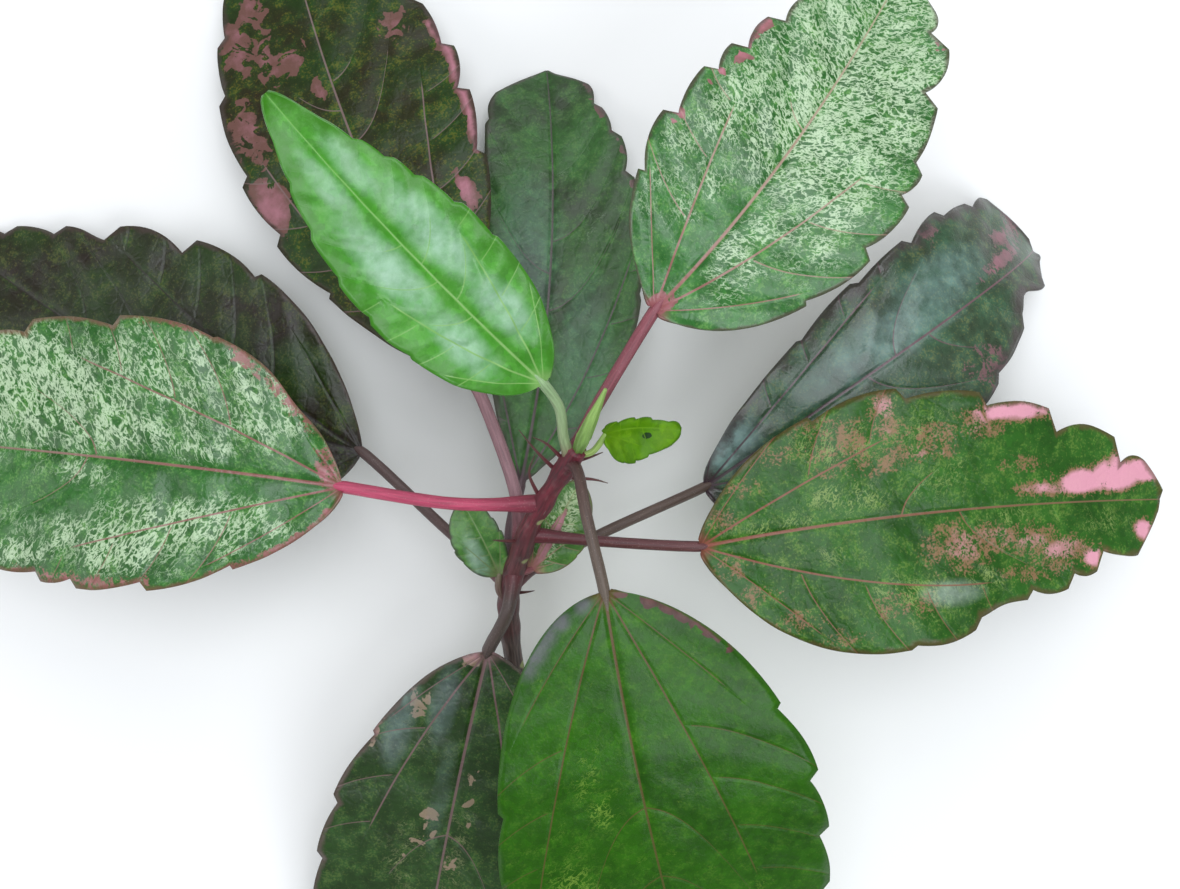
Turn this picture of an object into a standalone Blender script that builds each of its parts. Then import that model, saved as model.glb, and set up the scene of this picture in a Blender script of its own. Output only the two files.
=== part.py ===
"""Leafy shoot of a variegated hibiscus, cut from its bush and laid on a table.

The stem lies on its cut end and rises to its tip. The old leaves, low on the stem, bend
down until their tips rest on the table. The young ones stand above them, and the
youngest are still folded in the bud at the top. Sizes are in millimetres up to the
functions that place them, the table is at height 0, and the tip points along +Y.
"""

import math
from dataclasses import dataclass

import bmesh
import bpy
import numpy as np
from mathutils import Vector

MM = 0.001

# Middle of the shoot's footprint on the table, which becomes the origin
FOOTPRINT_CENTRE = (-14.77, -12.14)

# The stem's axis from its cut end to its tip, and its girth
STEM_AXIS = [
    (-5.0, -106.5, 1.95),
    (-8.4, -87.5, 6.6),
    (-12.0, -67.5, 13.2),
    (-14.5, -49.5, 21.0),
    (-16.0, -31.0, 31.0),
    (-12.0, -17.0, 42.0),
    (-8.5, -10.5, 48.0),
    (-5.0, -5.0, 54.0),
    (-2.3, -0.8, 59.3),
]
STEM_RADIUS_CUT = 1.95
STEM_RADIUS_TIP = 1.5
STEM_STATIONS = 28
NODE_SWELL = 0.45
NODE_REACH = 3.0

# Stipules, the thin curved spikes beside the leaf stalks: foot, middle and tip of each
STIPULES = [
    [(-9.2, -10.2, 48.0), (-11.2, -5.4, 51.0), (-10.0, -1.7, 54.0)],
    [(-6.2, -4.8, 53.0), (-9.7, -1.2, 57.0), (-12.7, 2.6, 61.0)],
    [(-4.6, -3.0, 56.0), (-7.6, 0.0, 60.0), (-10.1, 1.3, 63.0)],
    [(-3.0, -3.2, 55.6), (0.2, -2.2, 57.2), (2.3, -1.4, 58.6)],
    [(-4.8, -6.0, 53.0), (0.5, -6.4, 52.2), (3.3, -7.1, 52.0)],
    [(-15.0, -29.0, 32.2), (-12.6, -28.8, 33.2), (-10.8, -28.4, 34.5)],
    [(-12.8, -18.4, 41.0), (-16.5, -18.2, 43.2), (-18.4, -18.0, 44.2)],
]
STIPULE_FOOT_RADIUS = 0.65
STIPULE_TIP_RADIUS = 0.28

# Blades, leaf stalks and how they meet the stem
BLADE_THICKNESS = 0.8
RIB_DEPTH = 1.7
BLADE_LEAN = 0.05
BLADE_COLUMNS = (-1.0, -0.62, -0.1, 0.0, 0.1, 0.62, 1.0)
SMALL_BLADE_COLUMNS = (-1.0, -0.5, 0.0, 0.5, 1.0)
SMOOTH_ROWS = 5
TOOTH_ROWS = ((0.0, -0.5), (0.42, 0.2), (1.0, 0.5))
TOOTH_GAP = 0.016
TIP_HALF_WIDTH = 0.35
BASE_HALF_WIDTH = 0.9
STALK_FLARE = 1.35
STALK_END_SHARE = 0.10
STALK_STATIONS = 9
SEAT_GAP = 0.35

# Bud of folded young leaves at the stem's tip
BUD_PATH = [(-2.2, -1.0, 59.0), (-1.1, 1.2, 62.8), (0.4, 4.6, 66.4), (2.7, 9.6, 70.0)]
BUD_RADII = (0.95, 1.3, 1.0, 0.3)

SHADES = {
    "stem_bark": ((0.085, 0.035, 0.04), 0.6),
    "old_leaf": ((0.03, 0.075, 0.02), 0.35),
    "marbled_leaf": ((0.16, 0.32, 0.12), 0.35),
    "rosy_leaf": ((0.10, 0.16, 0.05), 0.35),
    "young_leaf": ((0.09, 0.30, 0.03), 0.3),
    "bud_green": ((0.24, 0.42, 0.12), 0.4),
}


@dataclass
class Margin:
    """One side of a blade: its width, where it is widest, how full it is, its teeth.

    Places along the blade are shares of its length from the base. Each tooth is given
    by the place of its point.
    """

    width: float
    widest: float
    base_fullness: float
    tip_fullness: float
    teeth: tuple

    def half_width(self, share):
        """Width of this side at a share of the length, without its teeth."""
        full = self.base_fullness if share < self.widest else self.tip_fullness
        rise = (max(share, 1e-4) / self.widest) ** (full * self.widest)
        return self.width * rise * (
            (1 - min(share, 1.0)) / (1 - self.widest)) ** (full * (1 - self.widest))


@dataclass
class Leaf:
    """One leaf: where its stalk and midrib run, and the two sides of its blade.

    Left and right are as seen from above by someone who looks from the base to the tip.
    The midrib is given by its base, its bend and its tip.
    """

    name: str
    shade: str
    stalk: list
    midrib: list
    left: Margin
    right: Margin
    tooth_depth: float
    stalk_radius: float = 1.1
    bank: float = 0.0
    twist: float = 0.0
    cup: float = 0.0
    wave: float = 1.0
    wave_phase: float = 0.0
    columns: tuple = BLADE_COLUMNS


LEAVES = [
    Leaf(
        name="leaf_back_left", shade="old_leaf",
        stalk=[(-13.0, -19.5, 39.6), (-14.8, -8.0, 35.2), (-20.6, 7.6, 31.2)],
        midrib=[(-24.2, 14.2, 29.2), (-49.7, 55.6, 24.0), (-65.6, 112.7, 0.8)],
        left=Margin(23.8, 0.55, 1.45, 1.3, (0.37, 0.49, 0.66, 0.78, 0.88, 0.95)),
        right=Margin(25.2, 0.55, 1.25, 1.5, (0.36, 0.5, 0.61, 0.73, 0.84, 0.93)),
        tooth_depth=2.2, stalk_radius=1.25, cup=-0.06, wave=1.2, wave_phase=0.4,
    ),
    Leaf(
        name="leaf_young_long", shade="young_leaf",
        stalk=[(-3.5, -2.65, 57.0), (-4.7, 1.2, 61.0), (-5.4, 6.5, 66.0)],
        midrib=[(-8.0, 10.5, 72.0), (-31.4, 31.9, 92.0), (-51.4, 55.6, 94.0)],
        left=Margin(12.5, 0.39, 1.8, 1.5, (0.44, 0.56, 0.68, 0.79, 0.9)),
        right=Margin(12.0, 0.36, 1.95, 1.65, (0.5, 0.61, 0.69, 0.77, 0.87)),
        tooth_depth=0.8, stalk_radius=0.95, cup=0.16, wave=0.6,
    ),
    Leaf(
        name="leaf_back_middle", shade="old_leaf",
        stalk=[(-15.7, -36.0, 28.4), (-16.4, -27.0, 24.4), (-16.0, -17.0, 23.6)],
        midrib=[(-14.0, -8.0, 23.0), (-4.6, 34.7, 22.0), (-9.3, 80.4, 0.6)],
        left=Margin(15.5, 0.6, 1.3, 1.2, (0.5, 0.61, 0.73, 0.85, 0.94)),
        right=Margin(19.0, 0.46, 2.2, 1.15, (0.57, 0.7, 0.8, 0.88, 0.95)),
        tooth_depth=1.3, cup=0.05, wave=0.8, wave_phase=2.0,
    ),
    Leaf(
        name="leaf_marbled_back", shade="marbled_leaf",
        stalk=[(-4.9, -4.9, 54.2), (-0.9, 3.0, 53.8), (2.0, 8.3, 55.2)],
        midrib=[(11.5, 24.0, 60.0), (35.4, 47.3, 70.0), (58.4, 88.5, 48.0)],
        left=Margin(20.9, 0.33, 2.2, 1.1, (0.35, 0.485, 0.575, 0.685, 0.79, 0.89)),
        right=Margin(22.2, 0.41, 1.5, 1.2, (0.36, 0.495, 0.57, 0.72, 0.84, 0.91)),
        tooth_depth=2.4, stalk_radius=1.15, cup=0.05, wave=1.0, wave_phase=1.0,
    ),
    Leaf(
        name="leaf_right_under", shade="old_leaf",
        stalk=[(-15.0, -27.0, 34.3), (-9.0, -23.2, 30.2), (4.0, -16.8, 28.5)],
        midrib=[(23.0, -8.5, 25.0), (80.3, 31.5, 45.0), (95.3, 41.7, 0.4)],
        left=Margin(17.8, 0.68, 0.95, 1.35, (0.46, 0.6, 0.715, 0.83, 0.92)),
        right=Margin(22.0, 0.3, 1.3, 1.75, (0.45, 0.6, 0.74, 0.86, 0.95)),
        tooth_depth=1.7, stalk_radius=1.05, cup=-0.05, wave=0.8,
    ),
    Leaf(
        name="leaf_rosy_tip", shade="rosy_leaf",
        stalk=[(-12.0, -17.0, 42.0), (4.0, -18.5, 42.0)],
        midrib=[(21.0, -19.5, 41.0), (60.8, -10.8, 50.0), (114.4, -11.0, 24.0)],
        left=Margin(23.0, 0.39, 1.95, 1.2, (0.4, 0.58, 0.72, 0.86, 0.95)),
        right=Margin(25.5, 0.35, 2.0, 1.3, (0.53, 0.66, 0.755, 0.82, 0.9)),
        tooth_depth=2.8, stalk_radius=1.05, cup=0.03, wave=1.0, wave_phase=0.5,
    ),
    Leaf(
        name="leaf_front_broad", shade="young_leaf",
        stalk=[(-4.0, -3.4, 56.0), (-2.2, -4.8, 60.5), (-0.5, -13.0, 66.0)],
        midrib=[(2.5, -25.5, 69.0), (8.9, -68.2, 76.0), (27.0, -131.3, 22.0)],
        left=Margin(30.6, 0.39, 1.55, 0.95, (0.33, 0.44, 0.56, 0.68, 0.8, 0.91)),
        right=Margin(27.5, 0.46, 1.15, 1.1, (0.42, 0.54, 0.66, 0.77, 0.87, 0.95)),
        tooth_depth=2.2, stalk_radius=1.05, cup=-0.05, wave=0.8, wave_phase=3.0,
    ),
    Leaf(
        name="leaf_front_left", shade="old_leaf",
        stalk=[(-14.5, -24.5, 36.0), (-16.0, -32.5, 37.5)],
        midrib=[(-20.0, -40.5, 33.0), (-30.3, -82.2, 27.0), (-40.0, -137.0, 0.6)],
        left=Margin(24.0, 0.45, 1.15, 1.15, (0.42, 0.55, 0.68, 0.8, 0.91)),
        right=Margin(24.5, 0.49, 1.35, 1.15, (0.34, 0.47, 0.6, 0.73, 0.87)),
        tooth_depth=1.6, stalk_radius=1.3, cup=0.02, wave=0.8, wave_phase=1.6,
    ),
    Leaf(
        name="leaf_marbled_left", shade="marbled_leaf",
        stalk=[(-8.8, -11.0, 47.6), (-26.0, -11.0, 47.0)],
        midrib=[(-46.5, -8.0, 45.0), (-89.0, -1.6, 52.0), (-144.0, 1.4, 20.0)],
        left=Margin(24.3, 0.48, 1.25, 0.95, (0.33, 0.475, 0.56, 0.68, 0.81, 0.92)),
        right=Margin(26.8, 0.37, 2.2, 0.95, (0.44, 0.615, 0.71, 0.8, 0.88, 0.95)),
        tooth_depth=2.0, stalk_radius=1.2, cup=0.04, wave=1.0, wave_phase=2.4,
    ),
    Leaf(
        name="leaf_left_under", shade="old_leaf",
        stalk=[(-15.2, -27.8, 33.8), (-29.0, -17.0, 23.0)],
        midrib=[(-46.5, -1.5, 19.0), (-91.0, 10.0, 18.0), (-139.5, 46.5, 0.8)],
        left=Margin(24.0, 0.4, 1.6, 1.2, (0.42, 0.55, 0.68, 0.8, 0.91)),
        right=Margin(28.0, 0.38, 2.1, 1.8, (0.49, 0.65, 0.76, 0.86, 0.94)),
        tooth_depth=2.2, wave=0.8, wave_phase=3.6,
    ),
    Leaf(
        name="side_leaf_left", shade="old_leaf",
        stalk=[(-16.0, -31.5, 30.7), (-17.7, -28.3, 34.3)],
        midrib=[(-17.5, -25.4, 36.0), (-20.6, -17.2, 41.0), (-24.6, -10.6, 40.0)],
        left=Margin(5.7, 0.5, 1.2, 1.1, (0.5, 0.66, 0.83)),
        right=Margin(3.8, 0.48, 1.1, 1.1, (0.5, 0.66, 0.83)),
        tooth_depth=0.4, stalk_radius=0.7, cup=0.1, wave=0.3, columns=SMALL_BLADE_COLUMNS,
    ),
    Leaf(
        name="side_leaf_right", shade="rosy_leaf",
        stalk=[(-14.0, -24.4, 36.6), (-12.8, -24.6, 36.2)],
        midrib=[(-11.4, -24.2, 35.8), (-7.1, -16.5, 37.2), (-1.7, -6.8, 37.6)],
        left=Margin(4.0, 0.48, 1.2, 1.1, (0.5, 0.66, 0.83)),
        right=Margin(6.7, 0.42, 1.4, 1.1, (0.5, 0.66, 0.83)),
        tooth_depth=0.4, stalk_radius=0.7, cup=0.08, wave=0.3, columns=SMALL_BLADE_COLUMNS,
    ),
    Leaf(
        name="leaf_newest", shade="young_leaf",
        stalk=[(-2.9, -1.9, 57.9), (0.4, -1.3, 59.2)],
        midrib=[(2.4, 1.6, 61.5), (7.0, 3.8, 67.0), (16.0, 2.4, 66.0)],
        left=Margin(1.7, 0.45, 1.0, 1.0, (0.45, 0.65, 0.84)),
        right=Margin(6.0, 0.32, 1.0, 1.0, (0.42, 0.62, 0.82)),
        tooth_depth=0.5, stalk_radius=0.6, cup=0.1, wave=0.3, columns=SMALL_BLADE_COLUMNS,
    ),
]


def placed(point):
    """A point of the layout, in metres from the middle of the footprint."""
    x, y, z = point
    return Vector((x - FOOTPRINT_CENTRE[0], y - FOOTPRINT_CENTRE[1], z)) * MM


def clear_scene():
    for obj in list(bpy.data.objects):
        bpy.data.objects.remove(obj, do_unlink=True)
    for collection in list(bpy.data.collections):
        bpy.data.collections.remove(collection)


def smooth_path(points, stations):
    """Evenly numbered points on a smooth curve (Catmull-Rom) through the given ones."""
    knots = [Vector(p) for p in points]
    knots = [2 * knots[0] - knots[1], *knots, 2 * knots[-1] - knots[-2]]
    spans = len(points) - 1
    path = []
    for i in range(stations):
        u = i / (stations - 1) * spans
        k = min(int(u), spans - 1)
        u -= k
        a, b, c, d = knots[k : k + 4]
        path.append(
            0.5 * (2 * b + (c - a) * u + (2 * a - 5 * b + 4 * c - d) * u * u
                   + (3 * b - a - 3 * c + d) * u ** 3)
        )
    return path


def tube_mesh(name, path, radii, resolution):
    """Mesh of a round tube with closed ends, on points in the layout's millimetres."""
    curve = bpy.data.curves.new(name, "CURVE")
    curve.dimensions = "3D"
    curve.bevel_depth = MM
    curve.bevel_resolution = resolution
    curve.use_fill_caps = True
    spline = curve.splines.new("POLY")
    spline.points.add(len(path) - 1)
    for point, place, radius in zip(spline.points, path, radii):
        point.co = (*placed(place), 1.0)
        point.radius = radius
    guide = bpy.data.objects.new(name, curve)
    bpy.context.scene.collection.objects.link(guide)
    graph = bpy.context.evaluated_depsgraph_get()
    mesh = bpy.data.meshes.new_from_object(guide.evaluated_get(graph))
    bpy.data.objects.remove(guide)
    bpy.data.curves.remove(curve)
    welded = bmesh.new()
    welded.from_mesh(mesh)
    bmesh.ops.remove_doubles(welded, verts=welded.verts, dist=0.01 * MM)
    bmesh.ops.recalc_face_normals(welded, faces=welded.faces)
    welded.to_mesh(mesh)
    welded.free()
    return mesh


def shaded(mesh, shade):
    """Gives the mesh its material and smooth shading."""
    material = bpy.data.materials.get(shade)
    if material is None:
        colour, roughness = SHADES[shade]
        material = bpy.data.materials.new(shade)
        material.use_nodes = True
        surface = material.node_tree.nodes["Principled BSDF"]
        surface.inputs["Base Color"].default_value = (*colour, 1.0)
        surface.inputs["Roughness"].default_value = roughness
        surface.inputs["Metallic"].default_value = 0.0
    mesh.materials.append(material)
    mesh.shade_smooth()
    mesh.set_sharp_from_angle(angle=math.radians(50))
    return mesh


def object_at(name, mesh, root, collection, parent):
    """An object whose origin is its root, with its mesh moved to suit."""
    origin = placed(root)
    for vertex in mesh.vertices:
        vertex.co -= origin
    obj = bpy.data.objects.new(name, mesh)
    obj.location = origin
    obj.parent = parent
    collection.objects.link(obj)
    return obj


def hide_helper(obj):
    obj.hide_render = True
    obj.display_type = "WIRE"


def add_boolean(obj, operation, other):
    cut = obj.modifiers.new(operation.title(), "BOOLEAN")
    cut.operation = operation
    cut.solver = "EXACT"
    cut.object = other


def stem_radius(place, share):
    """Girth at a share of the stem's length: a taper, swollen where each leaf grows."""
    radius = STEM_RADIUS_CUT + (STEM_RADIUS_TIP - STEM_RADIUS_CUT) * share ** 0.8
    nearest = min((place - Vector(leaf.stalk[0])).length for leaf in LEAVES)
    return radius + NODE_SWELL * math.exp(-((nearest / NODE_REACH) ** 2))


def stem_path():
    path = smooth_path(STEM_AXIS, STEM_STATIONS)
    radii = [stem_radius(p, i / (STEM_STATIONS - 1)) for i, p in enumerate(path)]
    return path, radii


def build_stem(collection, helpers, parent):
    """The woody stem, with its stipules sunk into it."""
    path, radii = stem_path()
    stem = object_at(
        "stem", shaded(tube_mesh("stem", path, radii, 2), "stem_bark"),
        STEM_AXIS[0], collection, parent,
    )
    for number, points in enumerate(STIPULES):
        spike = smooth_path(points, 5)
        taper = np.linspace(STIPULE_FOOT_RADIUS, STIPULE_TIP_RADIUS, len(spike))
        helper = object_at(
            f"stipule_{number}", tube_mesh("stipule", spike, taper, 0),
            points[0], helpers, parent,
        )
        hide_helper(helper)
        add_boolean(stem, "UNION", helper)
    return stem


def build_seat_cutter(helpers, parent):
    """The stem's shape, a little larger all round, which trims what grows on it."""
    path, radii = stem_path()
    for end, inner in ((0, 1), (-1, -2)):
        path[end] = path[end] + (path[end] - path[inner]).normalized() * SEAT_GAP
    mesh = tube_mesh("stem_clearance", path, [r + SEAT_GAP for r in radii], 2)
    cutter = object_at("stem_clearance", mesh, STEM_AXIS[0], helpers, parent)
    hide_helper(cutter)
    return cutter


def margin_rows(leaf, side):
    """(share of the length, half-width in mm) from the base to the tip of one side."""
    most = max(len(leaf.left.teeth), len(leaf.right.teeth))
    smooth = SMOOTH_ROWS + len(TOOTH_ROWS) * (most - len(side.teeth))
    first = side.teeth[0] - (side.teeth[1] - side.teeth[0])
    rows = [(first * (i / smooth) ** 1.4, 0.0) for i in range(smooth)]
    start = first
    for point in side.teeth:
        size = leaf.tooth_depth * (1.15 - 0.6 * point)
        rows += [(start + (point - start) * along, size * out) for along, out in TOOTH_ROWS]
        start = point + TOOTH_GAP
    margin = [(share, side.half_width(share) + tooth) for share, tooth in rows]
    margin = [(share, max(width, BASE_HALF_WIDTH)) for share, width in margin]
    return margin + [(1.0, TIP_HALF_WIDTH)]


class Midrib:
    """The curve down the middle of a blade, measured along its own length."""

    SAMPLES = 49

    def __init__(self, leaf):
        self.leaf = leaf
        self.base, self.bend, self.tip = (Vector(p) for p in leaf.midrib)
        self.turns = np.linspace(0, 1, self.SAMPLES)
        points = np.array([self.at(t)[0] for t in self.turns])
        steps = np.linalg.norm(np.diff(points, axis=0), axis=1)
        self.lengths = np.concatenate([[0.0], np.cumsum(steps)])
        self.length = float(self.lengths[-1])

    def at(self, t):
        """Point and direction at the curve's own parameter."""
        t = float(t)
        point = (1 - t) ** 2 * self.base + 2 * t * (1 - t) * self.bend + t * t * self.tip
        heading = (1 - t) * (self.bend - self.base) + t * (self.tip - self.bend)
        return point, heading.normalized()

    def frame(self, share):
        """Point, direction across to the right, and direction up from the blade."""
        point, along = self.at(np.interp(share * self.length, self.lengths, self.turns))
        across = along.cross(Vector((0, 0, 1))).normalized()
        up = across.cross(along)
        bank = math.radians(self.leaf.bank + self.leaf.twist * share)
        return point, across * math.cos(bank) + up * math.sin(bank), (
            up * math.cos(bank) - across * math.sin(bank)
        )


def lift(leaf, share, across, half_width):
    """How far the blade stands above its midrib's plane, from its cup and its waves."""
    x = across / max(half_width, 1.0)
    swing = math.sin(2 * math.pi * 2.2 * share + leaf.wave_phase + (1.3 if x > 0 else 0))
    return leaf.cup * abs(across) + leaf.wave * x * x * swing


def blade_mesh(leaf, midrib):
    """The blade's upper surface, a grid whose rows run out to the margin's teeth."""
    margins = [margin_rows(leaf, side) for side in (leaf.left, leaf.right)]
    rows, columns = len(margins[0]), len(leaf.columns)
    grid = bmesh.new()
    bmesh.ops.create_grid(grid, x_segments=columns - 1, y_segments=rows - 1, size=1)
    grid.verts.ensure_lookup_table()
    for j in range(rows):
        even = (margins[0][j][0] + margins[1][j][0]) / 2
        middle = even - BLADE_LEAN * math.sin(math.pi * even)
        for i, column in enumerate(leaf.columns):
            margin_share, half_width = margins[1 if column > 0 else 0][j]
            share = middle + (margin_share - middle) * abs(column)
            across = column * half_width
            point, right, up = midrib.frame(share)
            point = point + right * across + up * lift(leaf, share, across, half_width)
            depth = BLADE_THICKNESS
            if column == 0:
                depth += (RIB_DEPTH - BLADE_THICKNESS) * (1 - share)
            point.z = max(point.z, depth)
            grid.verts[j * columns + i].co = placed(point)
    bmesh.ops.triangulate(grid, faces=grid.faces)
    bmesh.ops.recalc_face_normals(grid, faces=grid.faces)
    if sum(face.normal.z for face in grid.faces) < 0:
        bmesh.ops.reverse_faces(grid, faces=grid.faces)
    mesh = bpy.data.meshes.new(leaf.name)
    grid.to_mesh(mesh)
    grid.free()
    return mesh, rows, columns


def thicken(obj, rows, columns):
    """Gives the blade its thickness downwards, most of it under the midrib."""
    rib = obj.vertex_groups.new(name="rib")
    middle = columns // 2
    for j in range(rows):
        rib.add([j * columns + middle], 1 - j / (rows - 1), "REPLACE")
    solid = obj.modifiers.new("Thickness", "SOLIDIFY")
    solid.thickness = RIB_DEPTH * MM
    solid.offset = -1
    solid.vertex_group = rib.name
    solid.thickness_vertex_group = BLADE_THICKNESS / RIB_DEPTH


def stalk_mesh(leaf, midrib):
    """The leaf stalk, from the stem's axis to a taper sunk under the blade."""
    ends = []
    for share in (0.0, STALK_END_SHARE):
        point, _, up = midrib.frame(share)
        ends.append(point - up * 0.6 * RIB_DEPTH)
    path = smooth_path([*leaf.stalk, *ends], STALK_STATIONS)
    radii = []
    for i in range(STALK_STATIONS):
        share = i / (STALK_STATIONS - 1)
        flare = 1 + (STALK_FLARE - 1) * math.exp(-((share / 0.16) ** 2))
        taper = 1 if share < 0.78 else 1 - 0.5 * (share - 0.78) / 0.22
        radii.append(leaf.stalk_radius * flare * taper)
    return tube_mesh(leaf.name, path, radii, 1)


def build_leaf(leaf, seat, collection, helpers, parent):
    midrib = Midrib(leaf)
    mesh, rows, columns = blade_mesh(leaf, midrib)
    root = leaf.stalk[0]
    obj = object_at(leaf.name, shaded(mesh, leaf.shade), root, collection, parent)
    thicken(obj, rows, columns)
    stalk = object_at(f"stalk_of_{leaf.name}", stalk_mesh(leaf, midrib), root, helpers, parent)
    hide_helper(stalk)
    add_boolean(obj, "UNION", stalk)
    add_boolean(obj, "DIFFERENCE", seat)
    return obj


def build_bud(seat, collection, parent):
    """The bud: young leaves still folded together, drawn out into a point."""
    path = smooth_path(BUD_PATH, 8)
    radii = np.interp(np.linspace(0, 1, 8), np.linspace(0, 1, len(BUD_RADII)), BUD_RADII)
    bud = object_at(
        "bud", shaded(tube_mesh("bud", path, radii, 2), "bud_green"),
        BUD_PATH[0], collection, parent,
    )
    add_boolean(bud, "DIFFERENCE", seat)
    return bud


def main():
    clear_scene()
    shoot = bpy.data.collections.new("hibiscus_shoot")
    helpers = bpy.data.collections.new("cutters_and_joins")
    for collection in (shoot, helpers):
        bpy.context.scene.collection.children.link(collection)
    root = bpy.data.objects.new("shoot_on_table", None)
    shoot.objects.link(root)
    build_stem(shoot, helpers, root)
    seat = build_seat_cutter(helpers, root)
    for leaf in LEAVES:
        build_leaf(leaf, seat, shoot, helpers, root)
    build_bud(seat, shoot, root)


main()
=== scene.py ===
import math
from dataclasses import dataclass, field

import bmesh
import bpy
import numpy as np
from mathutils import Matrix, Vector, noise


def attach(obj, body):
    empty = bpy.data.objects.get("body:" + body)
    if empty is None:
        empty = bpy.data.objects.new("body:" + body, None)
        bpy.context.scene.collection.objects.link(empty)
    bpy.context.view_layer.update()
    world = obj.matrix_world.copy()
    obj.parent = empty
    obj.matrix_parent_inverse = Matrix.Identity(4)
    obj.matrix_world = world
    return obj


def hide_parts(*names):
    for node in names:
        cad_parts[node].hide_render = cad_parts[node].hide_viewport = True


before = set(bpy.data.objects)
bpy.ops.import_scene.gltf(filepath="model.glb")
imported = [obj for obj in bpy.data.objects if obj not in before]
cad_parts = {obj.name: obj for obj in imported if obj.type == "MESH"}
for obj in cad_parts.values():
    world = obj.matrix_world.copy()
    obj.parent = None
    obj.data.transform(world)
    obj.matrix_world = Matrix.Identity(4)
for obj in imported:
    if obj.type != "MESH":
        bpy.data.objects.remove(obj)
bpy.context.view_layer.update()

# Table, light and camera.
# A plain pale table top under an overcast sky: four wide soft lights, overhead, behind, on
# the left and in front, and an even pale surround, so that waxy leaves get broad bluish
# highlights and faint shadows.
# Everything below is laid out in millimetres, with the shoot's footprint centred here.
MM = 0.001
FOOTPRINT_CENTRE = (-14.77, -12.14)
CAMERA_HEIGHT = 355.0
SENSOR_WIDTH = 36.0
FOCAL_LENGTH_IN_PIXELS = 1650
PHOTO_WIDTH_IN_PIXELS = 1180
TABLE_WHITE = "#f6f6f4"
SKY = "#f4f7fb"


def placed(point):
    """A point of the layout, in metres from the middle of the footprint."""
    x, y, z = point
    return Vector((x - FOOTPRINT_CENTRE[0], y - FOOTPRINT_CENTRE[1], z)) * MM


def linear(hex_colour):
    """An sRGB hex value as the linear colour that a shader takes."""
    parts = [int(hex_colour[i:i + 2], 16) / 255 for i in (1, 3, 5)]
    return (*[c / 12.92 if c <= 0.04045 else ((c + 0.055) / 1.055) ** 2.4 for c in parts], 1.0)


def add(tree, kind, inputs=None, **settings):
    """Adds a node with its settings and links, and returns its outputs."""
    node = tree.nodes.new("ShaderNode" + kind)
    for key, value in settings.items():
        setattr(node, key, value)
    for key, value in (inputs or {}).items():
        if isinstance(value, bpy.types.NodeSocket):
            tree.links.new(value, node.inputs[key])
        else:
            node.inputs[key].default_value = value
    return node.outputs


table_shape = bmesh.new()
bmesh.ops.create_grid(table_shape, x_segments=1, y_segments=1, size=2.0)
table_mesh = bpy.data.meshes.new("table_top")
table_shape.to_mesh(table_mesh)
table_shape.free()
table_top = bpy.data.objects.new("table_top", table_mesh)
bpy.context.scene.collection.objects.link(table_top)

# Matt white laminate: an even, nearly white ground with no visible grain
laminate = bpy.data.materials.new("matt_white_laminate")
laminate.use_nodes = True
laminate.node_tree.nodes["Principled BSDF"].inputs["Base Color"].default_value = linear(TABLE_WHITE)
laminate.node_tree.nodes["Principled BSDF"].inputs["Roughness"].default_value = 0.7
table_mesh.materials.append(laminate)

camera_data = bpy.data.cameras.new("camera")
camera_data.sensor_width = SENSOR_WIDTH
camera_data.lens = SENSOR_WIDTH * FOCAL_LENGTH_IN_PIXELS / PHOTO_WIDTH_IN_PIXELS
camera_data.clip_start = 0.01
camera = bpy.data.objects.new("camera", camera_data)
camera.location = placed((0.0, 0.0, CAMERA_HEIGHT))
bpy.context.scene.collection.objects.link(camera)
bpy.context.scene.camera = camera

for lamp_name, lamp_place, lamp_size, lamp_power, lamp_colour in (
    ("overhead_sky_light", (0.0, 0.15, 1.30), 0.8, 8.0, "#f4f8ff"),
    ("back_sky_light", (0.20, 0.85, 0.95), 0.8, 4.5, "#f8faff"),
    ("left_sky_light", (-1.05, -0.1, 0.75), 0.8, 3.5, "#fbfbff"),
    ("front_sky_light", (0.46, -0.46, 0.95), 0.6, 4.5, "#f4f8ff"),
):
    lamp_data = bpy.data.lights.new(lamp_name, "AREA")
    lamp_data.size = lamp_size
    lamp_data.energy = lamp_power
    lamp_data.color = linear(lamp_colour)[:3]
    lamp = bpy.data.objects.new(lamp_name, lamp_data)
    lamp.location = lamp_place
    lamp.rotation_euler = (-Vector(lamp_place)).to_track_quat("-Z", "Y").to_euler()
    bpy.context.scene.collection.objects.link(lamp)

surround = bpy.data.worlds.new("overcast_sky")
surround.use_nodes = True
surround.node_tree.nodes["Background"].inputs["Color"].default_value = linear(SKY)
surround.node_tree.nodes["Background"].inputs["Strength"].default_value = 0.35
bpy.context.scene.world = surround
bpy.context.scene.view_settings.view_transform = "Standard"

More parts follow.
